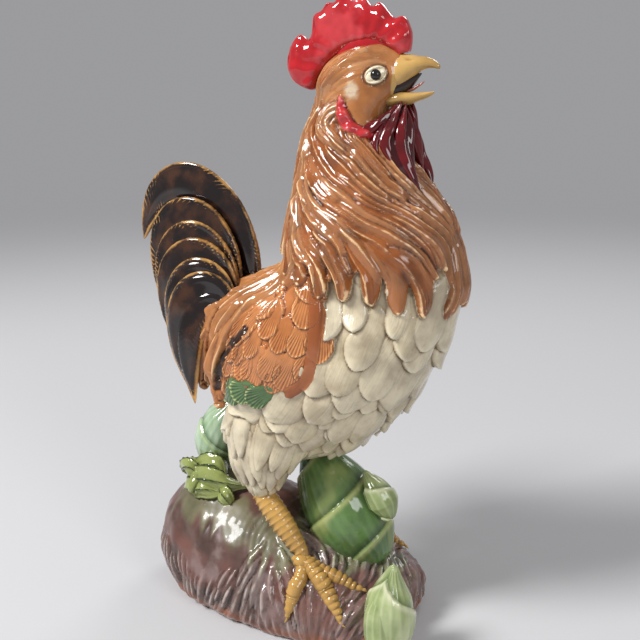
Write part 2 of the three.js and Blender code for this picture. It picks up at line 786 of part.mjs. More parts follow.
// The origin lies in the middle of the footprint's box, on the plane that the rock stands on
const box = new THREE.Box3().setFromObject(statue);
statue.position.set(-(box.min.x + box.max.x) / 2, -(box.min.y + box.max.y) / 2, 0);

export default statue;
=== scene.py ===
# %% [markdown]
# # A glazed ceramic rooster
# The real statue was pressed in plaster moulds, its feathers were cut into the wet clay, its legs, tail
# and comb were luted on, and the whole bird was brushed with coloured glazes and fired. The glaze runs
# while it is hot: it gets thin and light on every crest and pools dark in every groove. This lesson builds
# it in that order: the plain forms, the cut feathers, and at last the glazes, which follow the relief.

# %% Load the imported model
import math

import bmesh
import bpy
import numpy as np
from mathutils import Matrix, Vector
from mathutils.bvhtree import BVHTree
from mathutils.noise import noise


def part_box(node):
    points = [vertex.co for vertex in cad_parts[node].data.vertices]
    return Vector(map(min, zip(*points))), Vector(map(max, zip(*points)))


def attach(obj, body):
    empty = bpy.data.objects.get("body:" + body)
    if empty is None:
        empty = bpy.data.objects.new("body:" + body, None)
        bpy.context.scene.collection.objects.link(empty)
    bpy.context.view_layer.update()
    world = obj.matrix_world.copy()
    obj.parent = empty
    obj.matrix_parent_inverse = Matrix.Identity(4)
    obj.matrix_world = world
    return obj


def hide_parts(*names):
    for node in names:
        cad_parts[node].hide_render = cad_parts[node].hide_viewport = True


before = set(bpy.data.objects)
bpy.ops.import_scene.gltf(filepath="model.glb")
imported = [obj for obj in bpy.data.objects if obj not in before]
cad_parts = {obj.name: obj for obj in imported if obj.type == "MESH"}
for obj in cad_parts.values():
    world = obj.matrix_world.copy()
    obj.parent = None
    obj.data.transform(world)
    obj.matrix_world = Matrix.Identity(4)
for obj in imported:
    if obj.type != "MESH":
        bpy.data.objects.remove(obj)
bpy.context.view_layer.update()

MM = 0.001
print("nodes in the frame:", len(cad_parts))

# %% [markdown]
# ## The camera
# The photograph looks down a little on the bird's right side, from in front. A camera is an object with a
# place and a turn. Its lens and sensor width fix the angle of view, so both are set here once.

# %% Camera
VIEW_AZIMUTH = math.radians(25)
VIEW_PITCH = math.radians(15)
CAMERA_DISTANCE = 0.630
CAMERA_HEIGHT = 0.390
CAMERA_SIDESTEP = 0.020
CAMERA_NUDGE = 0.0006
SENSOR_WIDTH = 36.0
LENS = 50.6

across_view = Vector((math.cos(VIEW_AZIMUTH), math.sin(VIEW_AZIMUTH), 0))
towards_camera = Vector((math.sin(VIEW_AZIMUTH), -math.cos(VIEW_AZIMUTH), 0))
camera_data = bpy.data.cameras.new("camera")
camera_data.lens = LENS
camera_data.sensor_width = SENSOR_WIDTH
camera = bpy.data.objects.new("camera", camera_data)
camera.location = (towards_camera * CAMERA_DISTANCE + across_view * CAMERA_SIDESTEP
                   + Vector((CAMERA_NUDGE, 0, CAMERA_HEIGHT)))
camera.rotation_euler = (math.pi / 2 - VIEW_PITCH, 0, VIEW_AZIMUTH)
scene = bpy.context.scene
scene.collection.objects.link(camera)
scene.camera = camera
scene.view_settings.view_transform = "Standard"
print("camera at", [round(c, 3) for c in camera.location])

# %% [markdown]
# ## Writing shader maths as plain sums
# A material is a tree of small nodes. Placing dozens of Math nodes by hand hides the idea, so a small class
# wraps a socket and lets Python's own signs add the nodes: 1 - mask reads as it does on paper. Every other
# node comes from one method, which sets the node up first and then joins its sockets.

# %% The wire class
class Wire:
    """One value on its way through a node tree."""

    def __init__(self, tree, socket):
        self.tree = tree
        self.socket = socket

    def maths(self, operation, first, second):
        node = self.tree.nodes.new("ShaderNodeMath")
        node.operation = operation
        for socket, value in zip(node.inputs, (first, second)):
            join(self.tree, socket, value)
        return Wire(self.tree, node.outputs[0])

    def __add__(self, other):
        return self.maths("ADD", self, other)

    def __sub__(self, other):
        return self.maths("SUBTRACT", self, other)

    def __rsub__(self, other):
        return self.maths("SUBTRACT", other, self)

    def __mul__(self, other):
        return self.maths("MULTIPLY", self, other)

    __radd__ = __add__
    __rmul__ = __mul__

    def between(self, low, high):
        """0 below low, 1 above high, and a soft step in between."""
        node = self.tree.nodes.new("ShaderNodeMapRange")
        node.interpolation_type = "SMOOTHSTEP"
        node.inputs["From Min"].default_value = low
        node.inputs["From Max"].default_value = high
        join(self.tree, node.inputs["Value"], self)
        return Wire(self.tree, node.outputs["Result"])


def join(tree, socket, value):
    """Puts a number or colour on a socket, or links a wire to it."""
    if isinstance(value, Wire):
        tree.links.new(value.socket, socket)
    elif isinstance(value, tuple) and len(value) == 3 and socket.type == "RGBA":
        socket.default_value = (*value, 1.0)
    else:
        socket.default_value = value


# %% The glaze class
COAT_WEIGHT = 0.6
COAT_ROUGHNESS = 0.04
CLAY_SHINE = 0.3


class Glaze:
    """A glossy glaze whose colour and bump are wired up by the lines that use it."""

    def __init__(self, name, roughness=0.16):
        self.material = bpy.data.materials.new(name)
        self.material.use_nodes = True
        self.tree = self.material.node_tree
        self.shader = self.tree.nodes["Principled BSDF"]
        self.shader.inputs["Roughness"].default_value = roughness
        self.shader.inputs["Specular IOR Level"].default_value = CLAY_SHINE
        self.shader.inputs["Coat Weight"].default_value = COAT_WEIGHT
        self.shader.inputs["Coat Roughness"].default_value = COAT_ROUGHNESS
        self.place = self.node("ShaderNodeTexCoord", output="Object")

    def node(self, kind, settings=None, sockets=None, output=0):
        node = self.tree.nodes.new(kind)
        for name, value in (settings or {}).items():
            setattr(node, name, value)
        for name, value in (sockets or {}).items():
            join(self.tree, node.inputs[name], value)
        return Wire(self.tree, node.outputs[output])

    def attribute(self, name):
        return self.node("ShaderNodeAttribute", {"attribute_name": name}, output="Fac")

    def noise(self, scale, detail=3.0, vector=None, roughness=0.5):
        sockets = {"Vector": vector or self.place, "Scale": scale, "Detail": detail, "Roughness": roughness}
        return self.node("ShaderNodeTexNoise", None, sockets, "Fac")

    def stretched(self, scale):
        """The object's own coordinates, stretched by a factor on each axis."""
        return self.node("ShaderNodeMapping", None, {"Vector": self.place, "Scale": scale}, "Vector")

    def mix(self, share, first, second, blend="MIX"):
        node = self.tree.nodes.new("ShaderNodeMix")
        node.data_type = "RGBA"
        node.blend_type = blend
        join(self.tree, node.inputs[0], share)
        join(self.tree, node.inputs[6], first)
        join(self.tree, node.inputs[7], second)
        return Wire(self.tree, node.outputs[2])

    def wear(self, colour, roughness=None, bump=None, depth=0.0002):
        """Sends the finished colour, roughness and bump height to the shader."""
        join(self.tree, self.shader.inputs["Base Color"], colour)
        if roughness is not None:
            join(self.tree, self.shader.inputs["Roughness"], roughness)
        if bump is not None:
            normal = self.node("ShaderNodeBump", None,
                               {"Strength": 1.0, "Distance": depth, "Height": bump}, "Normal")
            join(self.tree, self.shader.inputs["Normal"], normal)
        return self.material


# %% [markdown]
# ## A plain studio
# Glossy clay shows what is around it, so the room is kept pale and plain: a wide floor that melts into the
# backdrop's own grey, one large soft lamp high on the camera's left, a weaker one on its right, and one
# from behind that draws the outline. Their levels are set so that a colour renders about as it is written.

# %% Floor
BACKDROP = (0.33, 0.33, 0.34)
FLOOR_GREY = (0.52, 0.52, 0.53)
FLOOR_RADIUS = 5.0
FLOOR_FADE = (0.7, 2.4)


def new_object(name, mesh):
    obj = bpy.data.objects.new(name, mesh)
    scene.collection.objects.link(obj)
    return obj


def mesh_from(bm, name):
    mesh = bpy.data.meshes.new(name)
    bm.to_mesh(mesh)
    bm.free()
    return mesh


floor_bm = bmesh.new()
bmesh.ops.create_circle(floor_bm, cap_ends=True, segments=96, radius=FLOOR_RADIUS)
floor = new_object("floor", mesh_from(floor_bm, "floor"))
floor_paint = Glaze("floor_paint", roughness=1.0)
floor_paint.shader.inputs["Coat Weight"].default_value = 0.0
floor_paint.shader.inputs["Specular IOR Level"].default_value = 0.0
floor_paint.wear(FLOOR_GREY)
reach = floor_paint.node("ShaderNodeVectorMath", {"operation": "LENGTH"}, {0: floor_paint.place}, "Value")
glow = floor_paint.tree.nodes.new("ShaderNodeEmission")
glow.inputs["Color"].default_value = (*BACKDROP, 1.0)
blend = floor_paint.tree.nodes.new("ShaderNodeMixShader")
join(floor_paint.tree, blend.inputs[0], reach.between(*FLOOR_FADE))
floor_paint.tree.links.new(floor_paint.shader.outputs[0], blend.inputs[1])
floor_paint.tree.links.new(glow.outputs[0], blend.inputs[2])
floor_paint.tree.links.new(blend.outputs[0], floor_paint.tree.nodes["Material Output"].inputs["Surface"])
floor.data.materials.append(floor_paint.material)
print("floor placed, radius in metres:", FLOOR_RADIUS)

# %% World and lamps
BIRD_MIDDLE = Vector((0, 0, 0.22))
world = bpy.data.worlds.new("room")
world.use_nodes = True
world.node_tree.nodes["Background"].inputs["Color"].default_value = (*BACKDROP, 1.0)
world.node_tree.nodes["Background"].inputs["Strength"].default_value = 1.0
scene.world = world


def soft_lamp(name, place, size, power):
    """A square lamp that faces the bird's middle."""
    data = bpy.data.lights.new(name, "AREA")
    data.size = size
    data.energy = power
    lamp = bpy.data.objects.new(name, data)
    lamp.location = place
    lamp.rotation_euler = (BIRD_MIDDLE - lamp.location).to_track_quat("-Z", "Y").to_euler()
    scene.collection.objects.link(lamp)


soft_lamp("key_lamp", (-1.20, -1.45, 1.95), 0.72, 84)
soft_lamp("fill_lamp", (1.95, -1.12, 1.12), 0.90, 16)
soft_lamp("rim_lamp", (0.30, 1.95, 1.80), 0.90, 16)
print("lamps:", len(bpy.data.lights))

# %% [markdown]
# ## The plain body
# Under its feathers the cast body is smooth: neck, torso, wings and thighs flow into each other. The
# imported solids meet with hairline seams, so a voxel remesh of their copies makes one skin over all of
# them, a few smoothing passes round the joints, and Subdivision Surface turns its coarse squares into fine
# ones. Fine squares are wanted because each feather will be raised by moving them.

# %% Copying, remeshing and smoothing
def copy_of(*nodes):
    """The nodes' solids in one bmesh, each with its loose triangles merged."""
    bm = bmesh.new()
    for node in nodes:
        bm.from_mesh(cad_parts[node].data)
    bmesh.ops.remove_doubles(bm, verts=bm.verts, dist=0.002 * MM)
    return bm


def with_modifiers(bm, name, *modifiers):
    """Runs a stack of modifiers, given as (type, settings), on a bmesh and returns the result."""
    obj = new_object(name, mesh_from(bm, name))
    for kind, settings in modifiers:
        modifier = obj.modifiers.new(kind.lower(), kind)
        for key, value in settings.items():
            setattr(modifier, key, value)
    graph = bpy.context.evaluated_depsgraph_get()
    result = bmesh.new()
    result.from_object(obj, graph)
    mesh = obj.data
    bpy.data.objects.remove(obj)
    bpy.data.meshes.remove(mesh)
    return result


def remeshed(bm, voxel):
    return with_modifiers(bm, "remesh", ("REMESH", {"mode": "VOXEL", "voxel_size": voxel}))


def subdivided(bm, levels):
    return with_modifiers(bm, "subdivide", ("SUBSURF", {"levels": levels, "render_levels": levels}))


def shells(bm):
    """The separate closed surfaces in a bmesh, as lists of vertices, the outermost one first."""
    found, seen = [], set()
    for start in bm.verts:
        if start in seen:
            continue
        seen.add(start)
        group, edge = [start], [start]
        while edge:
            vert = edge.pop()
            for link in vert.link_edges:
                other = link.other_vert(vert)
                if other not in seen:
                    seen.add(other)
                    group.append(other)
                    edge.append(other)
        found.append(group)
    return sorted(found, key=lambda group: min(v.co.x for v in group))


def smooth(bm, times, verts=None):
    for _ in range(times):
        bmesh.ops.smooth_vert(bm, verts=verts or bm.verts, factor=0.5,
                              use_axis_x=True, use_axis_y=True, use_axis_z=True)


# %% One skin over the body's solids
BODY_NODES = (["torso_shell", "neck", "head"]
              + [f"{part}_{side}" for part in ("wing", "thigh") for side in ("right", "left")]
              + [f"saddle_{side}_{n}" for side in ("right", "left") for n in (1, 2)])
BODY_VOXEL = 3.6 * MM
BODY_SMOOTHING = 5
NECK_SMOOTHING = 12
FINE_LEVELS = 2

skin = remeshed(copy_of(*BODY_NODES), BODY_VOXEL)
inner_walls = [vert for shell in shells(skin)[1:] for vert in shell]
bmesh.ops.delete(skin, geom=inner_walls, context="VERTS")
smooth(skin, BODY_SMOOTHING)
neck_low, neck_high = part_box("neck")
neck_foot = neck_low.z + 12 * MM
smooth(skin, NECK_SMOOTHING, verts=[vert for vert in skin.verts if neck_foot < vert.co.z < neck_high.z])
skin = subdivided(skin, FINE_LEVELS)
print("body skin:", len(skin.faces), "faces")

# %% [markdown]
# ## How feathers are cut into clay
# A modeller presses feathers in rows from the head backwards, so each one lies on the root of the next.
# Here a feather is a short path that follows the plumage over the skin. Every skin point near the path
# learns how far along it and how far across it lies, and a profile turns that into a height. Where two
# feathers cover a point, the higher one wins, and because each rises from a sunken root to a proud tip,
# the winner is always the upper feather. That is the overlap of real plumage without a single loose leaf.

# %% The skin as arrays
class Clay:
    """A fine mesh as arrays in millimetres, with what has been cut at each of its points."""

    def __init__(self, bm):
        bm.normal_update()
        self.tree = BVHTree.FromBMesh(bm)
        self.mesh = mesh_from(bm, "clay")
        count = len(self.mesh.vertices)
        self.co = np.empty(count * 3, np.float32)
        self.mesh.vertices.foreach_get("co", self.co)
        self.co = self.co.reshape(-1, 3) / MM
        self.facing = np.empty(count * 3, np.float32)
        self.mesh.vertices.foreach_get("normal", self.facing)
        self.facing = self.facing.reshape(-1, 3)
        edges = np.empty(len(self.mesh.edges) * 2, np.int32)
        self.mesh.edges.foreach_get("vertices", edges)
        self.edges = edges.reshape(-1, 2)
        self.height = np.zeros(count, np.float32)
        self.crest_share = 1.0
        self.marks = {}
        self.owner = np.full(count, -1, np.int32)

    def mark(self, name):
        """An attribute of the points, made when it is first asked for."""
        return self.marks.setdefault(name, np.zeros(len(self.co), np.float32))

    def spread(self, values, times):
        """Averages a value over each point's neighbours."""
        first, second = self.edges.T
        count = len(self.co)
        links = np.bincount(first, minlength=count) + np.bincount(second, minlength=count)
        for _ in range(times):
            total = (np.bincount(first, values[second], count) + np.bincount(second, values[first], count))
            values = 0.5 * values + 0.5 * total / np.maximum(links, 1)
        return values

    def snap(self, points):
        """The nearest points of the skin, and the way that it faces there."""
        hits = [self.tree.find_nearest(Vector(p) * MM) for p in points]
        return (np.array([hit[0] for hit in hits]) / MM, np.array([hit[1] for hit in hits]))


clay = Clay(skin)
print("points in the skin:", len(clay.co))

# %% [markdown]
# ## Which way the plumage runs
# A few strokes are drawn along the bird's right side, as a groomer would stroke it, in millimetres.
# Their mirror images serve the left side. Anywhere else the direction is an average of the strokes, in
# which near ones count far more.

# %% Strokes of the plumage
PLUMAGE_STROKES = [
    [(30, -4, 384), (16, -6, 350), (4, -10, 310), (-6, -12, 272), (-24, -10, 250), (-46, -8, 238)],
    [(36, -12, 382), (22, -15, 352), (10, -20, 312), (2, -24, 276), (-18, -24, 246), (-50, -20, 232)],
    [(38, -18, 378), (30, -20, 362), (44, -27, 350), (65, -29, 335), (86, -28, 320), (100, -20, 308)],
    [(27, -21, 352), (45, -34, 331), (66, -38, 318), (96, -27, 306), (113, -6, 290), (122, -10, 266)],
    [(24, -24, 330), (40, -36, 314), (62, -42, 304), (88, -40, 292), (102, -34, 282), (112, -27, 262)],
    [(22, -26, 318), (38, -41, 303), (58, -47, 292), (65, -49, 272), (67, -50, 254)],
    [(32, -39, 300), (54, -48, 284), (64, -49, 268), (64, -50, 252)],
    [(20, -30, 296), (30, -42, 282), (42, -50, 273), (45, -55, 260), (45, -58, 246)],
    [(50, -30, 352), (68, -34, 328), (96, -22, 312), (112, -6, 294)],
    [(70, -44, 292), (82, -46, 274), (82, -46, 254)],
    [(84, -45, 284), (96, -39, 270), (98, -40, 249)],
    [(74, -18, 352), (88, -16, 330), (102, -8, 312), (114, 0, 296), (124, 0, 272)],
    [(122, -12, 258), (116, -22, 236), (104, -30, 212), (84, -32, 186), (56, -34, 164)],
    [(124, 0, 252), (118, -4, 220), (100, -6, 186), (72, -6, 158), (40, -6, 140), (10, -6, 134)],
    [(96, -42, 240), (84, -48, 220), (66, -52, 188), (44, -50, 166)],
    [(60, -54, 245), (60, -58, 210), (50, -58, 184)],
    [(26, -40, 277), (20, -53, 253), (8, -62, 225), (-6, -60, 196), (-24, -48, 178)],
    [(40, -55, 262), (36, -62, 236), (26, -66, 210), (10, -64, 184), (-14, -56, 174)],
    [(12, -26, 274), (-4, -32, 252), (-26, -42, 224), (-38, -43, 200), (-44, -40, 176)],
    [(6, -16, 268), (-18, -24, 246), (-42, -28, 228), (-56, -28, 205), (-60, -26, 172)],
    [(-24, -46, 168), (-22, -50, 140), (-15, -46, 110)],
    [(-6, -56, 176), (-5, -57, 142), (-3, -48, 110)],
    [(26, -54, 172), (14, -54, 145), (0, -47, 114)],
    [(42, -44, 168), (24, -40, 144), (4, -36, 120)],
    [(-36, -14, 200), (-34, -16, 180), (-24, -26, 150)],
    [(20, -20, 138), (2, -22, 150), (-20, -22, 168)],
    [(80, -12, 402), (66, -15, 404), (50, -14, 400), (38, -12, 390)],
    [(78, -14, 384), (64, -19, 380), (50, -18, 376), (40, -18, 372)],
]
STROKE_SOFTNESS = 4.0


def mirrored(points, sign):
    """The points as they are where sign is 1, and their images on the bird's left side where it is -1."""
    return np.array(points, float) * (1, sign, 1)


def laid_in(way, facing):
    """Directions laid into the surface, each one long."""
    way = way - facing * (way * facing).sum(1, keepdims=True)
    return way / np.maximum(np.linalg.norm(way, axis=1, keepdims=True), 1e-6)


stroke_starts, stroke_runs = [], []
for stroke in PLUMAGE_STROKES:
    for sign in (1, -1):
        points = mirrored(stroke, sign)
        stroke_starts.append((points[:-1] + points[1:]) / 2)
        stroke_runs.append(np.diff(points, axis=0))
stroke_middles = np.concatenate(stroke_starts)
stroke_directions = np.concatenate(stroke_runs)


def plumage_direction(points, facing):
    """The plumage's direction at each point, laid into the skin there."""
    gap = ((points[:, None] - stroke_middles[None]) ** 2).sum(2)
    share = 1 / (gap + STROKE_SOFTNESS ** 2) ** 2
    way = share @ (stroke_directions / np.linalg.norm(stroke_directions, axis=1, keepdims=True))
    return laid_in(way, facing)


print("strokes:", len(PLUMAGE_STROKES), "pieces of them with their mirror images:", len(stroke_middles))

# %% The swing of the hackle's locks
LOCK_SWING = 0.22
LOCK_SWING_SCALE = 0.026


def lumps(points, scale):
    """A slow random swell at each point, between about -1 and 1."""
    return np.array([noise(Vector(point) * scale) for point in points])


def swung_direction(points, facing):
    """The plumage with the slow sideways swing that the hackle's locks have."""
    way = plumage_direction(points, facing)
    way = way + np.cross(facing, way) * (LOCK_SWING * lumps(points, LOCK_SWING_SCALE))[:, None]
    return way / np.maximum(np.linalg.norm(way, axis=1, keepdims=True), 1e-6)


# %% [markdown]
# ## The shape of one feather
# A feather needs an outline, which is its half width along its length, and a profile, which is its height.
# A scale is broad with a round tip and is crowned, a leaf narrows to a soft point, and a covert is dished
# and has a thin raised rim. A strand is long and pointed, and rises to a soft crest along its middle, so
# that strands side by side leave the hollow bands that the glaze pools in. A lock is a tongue with a
# rounded back, and it carries many strands.

# %% Outlines
def scale_outline(along):
    """Half width of a round-tipped feather, as a share of its widest."""
    belly = 0.62 + 0.38 * np.clip(along / 0.55, 0, 1)
    tip = np.sqrt(np.clip(1 - (np.clip(along - 0.55, 0, 1) / 0.45) ** 2.2, 0, 1))
    return belly * tip


def strand_outline(along):
    """Half width of a long pointed feather, as a share of its widest."""
    root = 0.45 + 0.55 * np.clip(along / 0.3, 0, 1)
    tip = np.clip(1 - np.clip((along - 0.5) / 0.5, 0, 1) ** 2.2, 0, 1)
    return root * tip


def tongue_outline(along):
    """Half width of a long lock with a round tip, as a share of its widest."""
    root = 0.5 + 0.5 * np.clip(along / 0.35, 0, 1)
    return root * np.sqrt(np.clip(1 - (np.clip(along - 0.6, 0, 1) / 0.4) ** 2.2, 0, 1))


def leaf_outline(along):
    """Half width of a feather that narrows to a soft point, as a share of its widest."""
    belly = 0.55 + 0.45 * np.clip(along / 0.45, 0, 1)
    return belly * np.sqrt(np.clip(1 - (np.clip(along - 0.45, 0, 1) / 0.55) ** 1.5, 0, 1))


# %% Profiles
CREST_SHARE = 0.62
RIBBON_SHARE = 0.16


def scale_height(across, along, edge):
    """A pillow: rises from the root to the tip and rounds off all round its edge."""
    rise = 0.10 + 0.90 * along ** 1.2
    crown = 0.28 + 0.72 * np.sqrt(np.clip(1 - across ** 2, 0, 1))
    return rise * crown * np.clip(edge / 2.2, 0, 1) ** 0.55


def dished_height(across, along, edge):
    """Rises to the tip with a hollow middle and a thin proud rim."""
    rise = 0.15 + 0.85 * along ** 1.1
    rim = np.exp(-((edge - 1.7) / 1.1) ** 2)
    return rise * (0.74 + 0.30 * rim + 0.10 * across ** 2) * np.clip(edge / 1.2, 0, 1) ** 0.5


def tongue_height(across, along, edge):
    """A rounded back that rises a little to its tip."""
    return (0.5 + 0.5 * along) * np.sqrt(np.clip(1 - across ** 2, 0, 1)) * np.clip(edge / 3.0, 0, 1) ** 0.4


def strand_height(across, along, edge):
    """A low ribbon with one fine crest along it, so that hollows are left between neighbouring crests."""
    rise = (0.45 + 0.55 * np.sin(np.clip(along, 0, 1) ** 0.7 * math.pi * 0.75)) * (1 - 0.45 * along ** 4)
    crest = np.clip(1 - np.sqrt(across ** 2 + 0.006) / CREST_SHARE, 0, 1) ** 1.5
    return rise * (RIBBON_SHARE + (1 - RIBBON_SHARE) * crest) * np.clip(edge / 1.8, 0, 1) ** 0.6


# %% Growing a tract of feathers
WALK_STEPS = 12
TRIALS = 9000


def grow(clay, where, across_gap, along_gap, size, seed, direction):
    """Roots spread evenly over a part of the skin: nearer together across the plumage than along it."""
    rng = np.random.default_rng(seed)
    trial = rng.permutation(np.flatnonzero(where))[:TRIALS]
    points, facing = clay.co[trial], clay.facing[trial]
    way = direction(points, facing)
    side = np.cross(facing, way)
    size = size(points)
    kept = []
    for i in range(len(trial)):
        if kept:
            gap = points[kept] - points[i]
            away = ((gap @ side[i]) / across_gap) ** 2 + ((gap @ way[i]) / along_gap) ** 2
            away += ((gap @ facing[i]) / across_gap) ** 2
            if (away < size[i] ** 2).any():
                continue
        kept.append(i)
    return points[kept], size[kept], rng


def paths_from(clay, roots, lengths, direction):
    """Walks each feather's middle line over the skin with the plumage."""
    point, facing = clay.snap(roots)
    line, normals = [point], [facing]
    for _ in range(WALK_STEPS):
        step = direction(point, facing) * (lengths / WALK_STEPS)[:, None]
        point, facing = clay.snap(point + step)
        line.append(point)
        normals.append(facing)
    return np.stack(line, 1), np.stack(normals, 1)


# %% Pressing one feather
MAX_DEPTH_OFF_PATH = 9.0
FACING_LIMIT = 0.25


def press(clay, path, facing, half_width, thick, lift, outline, profile, owner, over=0.0, **marks):
    """Presses one feather into the skin, wherever it lies higher than what is there less over."""
    reach = half_width + 1
    low, high = path.min(0) - reach, path.max(0) + reach
    near = np.flatnonzero(((clay.co > low) & (clay.co < high)).all(1))
    start, run = path[:-1], np.diff(path, axis=0)
    length = np.linalg.norm(run, axis=1)
    offset = clay.co[near][:, None] - start[None]
    share = np.clip((offset * run).sum(2) / length ** 2, 0, 1)
    gap = offset - share[..., None] * run
    best = (gap ** 2).sum(2).argmin(1)
    row = np.arange(len(near))
    gap = gap[row, best]
    along = (best + share[row, best]) / len(run)
    up = facing[best]
    side = np.cross(up, (run / length[:, None])[best])
    side /= np.maximum(np.linalg.norm(side, axis=1, keepdims=True), 1e-6)
    across = (gap * side).sum(1)
    beyond = (gap * (run / length[:, None])[best]).sum(1)
    half = half_width * outline(along)
    edge = half - np.abs(across) - np.abs(beyond)
    covers = ((edge > 0) & (np.abs((gap * up).sum(1)) < MAX_DEPTH_OFF_PATH)
              & ((clay.facing[near] * up).sum(1) > FACING_LIMIT))
    near, across, along, edge, half = near[covers], across[covers], along[covers], edge[covers], half[covers]
    height = lift + thick * profile(across / half, along, edge)
    wins = height + over > clay.height[near]
    near = near[wins]
    clay.height[near] = height[wins]
    clay.owner[near] = owner
    clay.mark("across")[near] = across[wins]
    clay.mark("along")[near] = along[wins]
    clay.mark("rim")[near] = np.exp(-((edge[wins] - 1.2) / 1.1) ** 2) * along[wins]
    for name, value in marks.items():
        clay.mark(name)[near] = value


# %% Smooth curves, and nearness to one
def curve_points(points, count):
    """Evenly spaced points on a smooth curve through the given ones, and its directions there."""
    points = np.array(points, float)
    ends = np.vstack([2 * points[0] - points[1], points, 2 * points[-1] - points[-2]])
    fine = []
    for a, b, c, d in zip(ends, ends[1:], ends[2:], ends[3:]):
        t = np.linspace(0, 1, 24, endpoint=False)[:, None]
        fine.append(0.5 * (2 * b + (c - a) * t + (2 * a - 5 * b + 4 * c - d) * t ** 2
                           + (3 * b - a - 3 * c + d) * t ** 3))
    fine = np.vstack([*fine, points[-1:]])
    run = np.concatenate([[0], np.cumsum(np.linalg.norm(np.diff(fine, axis=0), axis=1))])
    even_run = np.linspace(0, run[-1], count)
    line = np.stack([np.interp(even_run, run, fine[:, k]) for k in range(3)], 1)
    way = np.gradient(line, axis=0)
    return line, way / np.linalg.norm(way, axis=1, keepdims=True), run[-1]


def nearness(clay, points, reach, power):
    """One on a line that lies on the skin, falling to nought beyond reach."""
    line, normals = clay.snap(curve_points(np.array(points, float), WALK_STEPS + 1)[0])
    gap = np.full(len(clay.co), np.inf)
    for start, end in zip(line[:-1], line[1:]):
        share = np.clip((clay.co - start) @ (end - start) / ((end - start) @ (end - start)), 0, 1)
        gap = np.minimum(gap, np.linalg.norm(clay.co - start - share[:, None] * (end - start), axis=1))
    return np.exp(-(gap / reach) ** power)


# %% [markdown]
# ## The tracts
# A bird's feathers stand in tracts, each with its own kind: a cape of hackle strands, broad scales on the
# breast, leaves on the thighs, coverts on the wings, strands on the back. A few borders, read off the
# photograph as lines of place and height, say where each tract lies.

# %% Where each tract lies
x, y, z = clay.co.T
wide = np.abs(y)
OWNERS = ["torso_shell", "neck", "head"] + [f"{part}_{side}" for part in ("wing", "thigh") for side in
                                            ("right", "left")]


def ramp(value, *stops):
    """Straight lines through (value, result) pairs."""
    return np.interp(value, [s[0] for s in stops], [s[1] for s in stops])


cape_edge = ramp(x, (-10, 300), (5, 288), (30, 278), (60, 282), (90, 284), (125, 290))
in_cape = (z > cape_edge) & (z < 378) & (x < 118)
in_cape &= ~((z > 344) & (x > ramp(z, (344, 88), (354, 70), (366, 56), (378, 44))))
thigh_top = ramp(x, (-34, 178), (0, 184), (34, 172), (60, 158))
in_thigh = (z < thigh_top) & (z > 104) & (wide > ramp(x, (-40, 8), (0, 14), (40, 24)))
wing_low = ramp(x, (-40, 176), (-30, 182), (10, 196), (34, 208), (48, 220))
in_wing = ((wide > 34) & (z > wing_low) & (z < 288)
           & (x < ramp(z, (180, 14), (196, 36), (209, 46), (233, 51), (259, 50), (280, 42)))
           & (x > ramp(z, (176, -40), (190, -31), (220, -14), (235, -6), (255, 4), (280, 16))))
in_back = (z > 172) & (z < 290) & (x < ramp(z, (172, -36), (190, -20), (230, 2), (290, 22))) & ~in_wing
in_breast = (z < 262) & ~in_thigh & ~in_wing & ~in_back
print({name: int(part.sum()) for name, part in
       dict(cape=in_cape, thigh=in_thigh, wing=in_wing, back=in_back, breast=in_breast).items()})


# %% Kinds and sizes of feather
SCALE = (scale_outline, scale_height)
LEAF = (leaf_outline, scale_height)
DISHED = (scale_outline, dished_height)
STRAND = (strand_outline, strand_height)
LOCK = (tongue_outline, tongue_height)
# Each tract's places in OWNERS: one, or a right and a left one.
TORSO, NECK, HEAD, WINGS, THIGHS = (0,), (1,), (2,), (3, 4), (5, 6)


def even(points):
    return np.ones(len(points))


def breast_size(points):
    """Broad scales high on the breast, smaller ones under the belly."""
    return ramp(points[:, 2], (130, 0.62), (170, 0.85), (215, 1.12), (260, 1.0))


def wing_size(points):
    return ramp(points[:, 2], (176, 0.80), (215, 1.0), (260, 1.3))


def lock_size(points):
    return ramp(points[:, 2], (300, 1.0), (325, 0.92), (350, 0.72), (380, 0.5))


# %% Cutting one tract
def cut(clay, where, gaps, length, half_width, thick, lift, shape, owner, seed, size=even, jitter=0.25,
        direction=plumage_direction, **marks):
    """Grows one tract and presses all its feathers. owner is one piece, or a right and a left one."""
    outline, profile = shape
    roots, sizes, rng = grow(clay, where, *gaps, size, seed, direction)
    sizes = sizes * (1 + jitter * (rng.random(len(roots)) - 0.5))
    paths, facing = paths_from(clay, roots, length * sizes, direction)
    for path, normals, factor in zip(paths, facing, sizes):
        press(clay, path, normals, half_width * factor, thick * min(factor, 1), lift, outline, profile,
              owner[0] if path[0][1] < 0 else owner[-1], tint=rng.random(), **marks)
    print("feathers:", len(roots))


# %% Breast, thighs and back
cut(clay, in_breast, (15.0, 17.5), length=38, half_width=13.0, thick=7.2, lift=0.0, shape=SCALE, owner=TORSO,
    seed=1, size=breast_size, jitter=0.6)
cut(clay, in_thigh, (9.5, 18), length=47, half_width=7.4, thick=4.6, lift=0.4, shape=LEAF, owner=THIGHS,
    seed=2, jitter=0.4)
under_wing = clay.spread((in_back | in_wing).astype(float), 9) > 0.02
clay.height[under_wing] = np.minimum(clay.height[under_wing], 0.8)
cut(clay, in_back, (7.4, 24), length=58, half_width=7.8, thick=4.6, lift=0.8, shape=STRAND, owner=TORSO,
    seed=3, caramel=1)


# %% [markdown]
# ## The wings
# Three long green coverts lie lowest, so they are pressed first. The small dished coverts follow over them.
# Along the wing's front edge the modeller left a smooth band. It is raised by its nearness to a line.

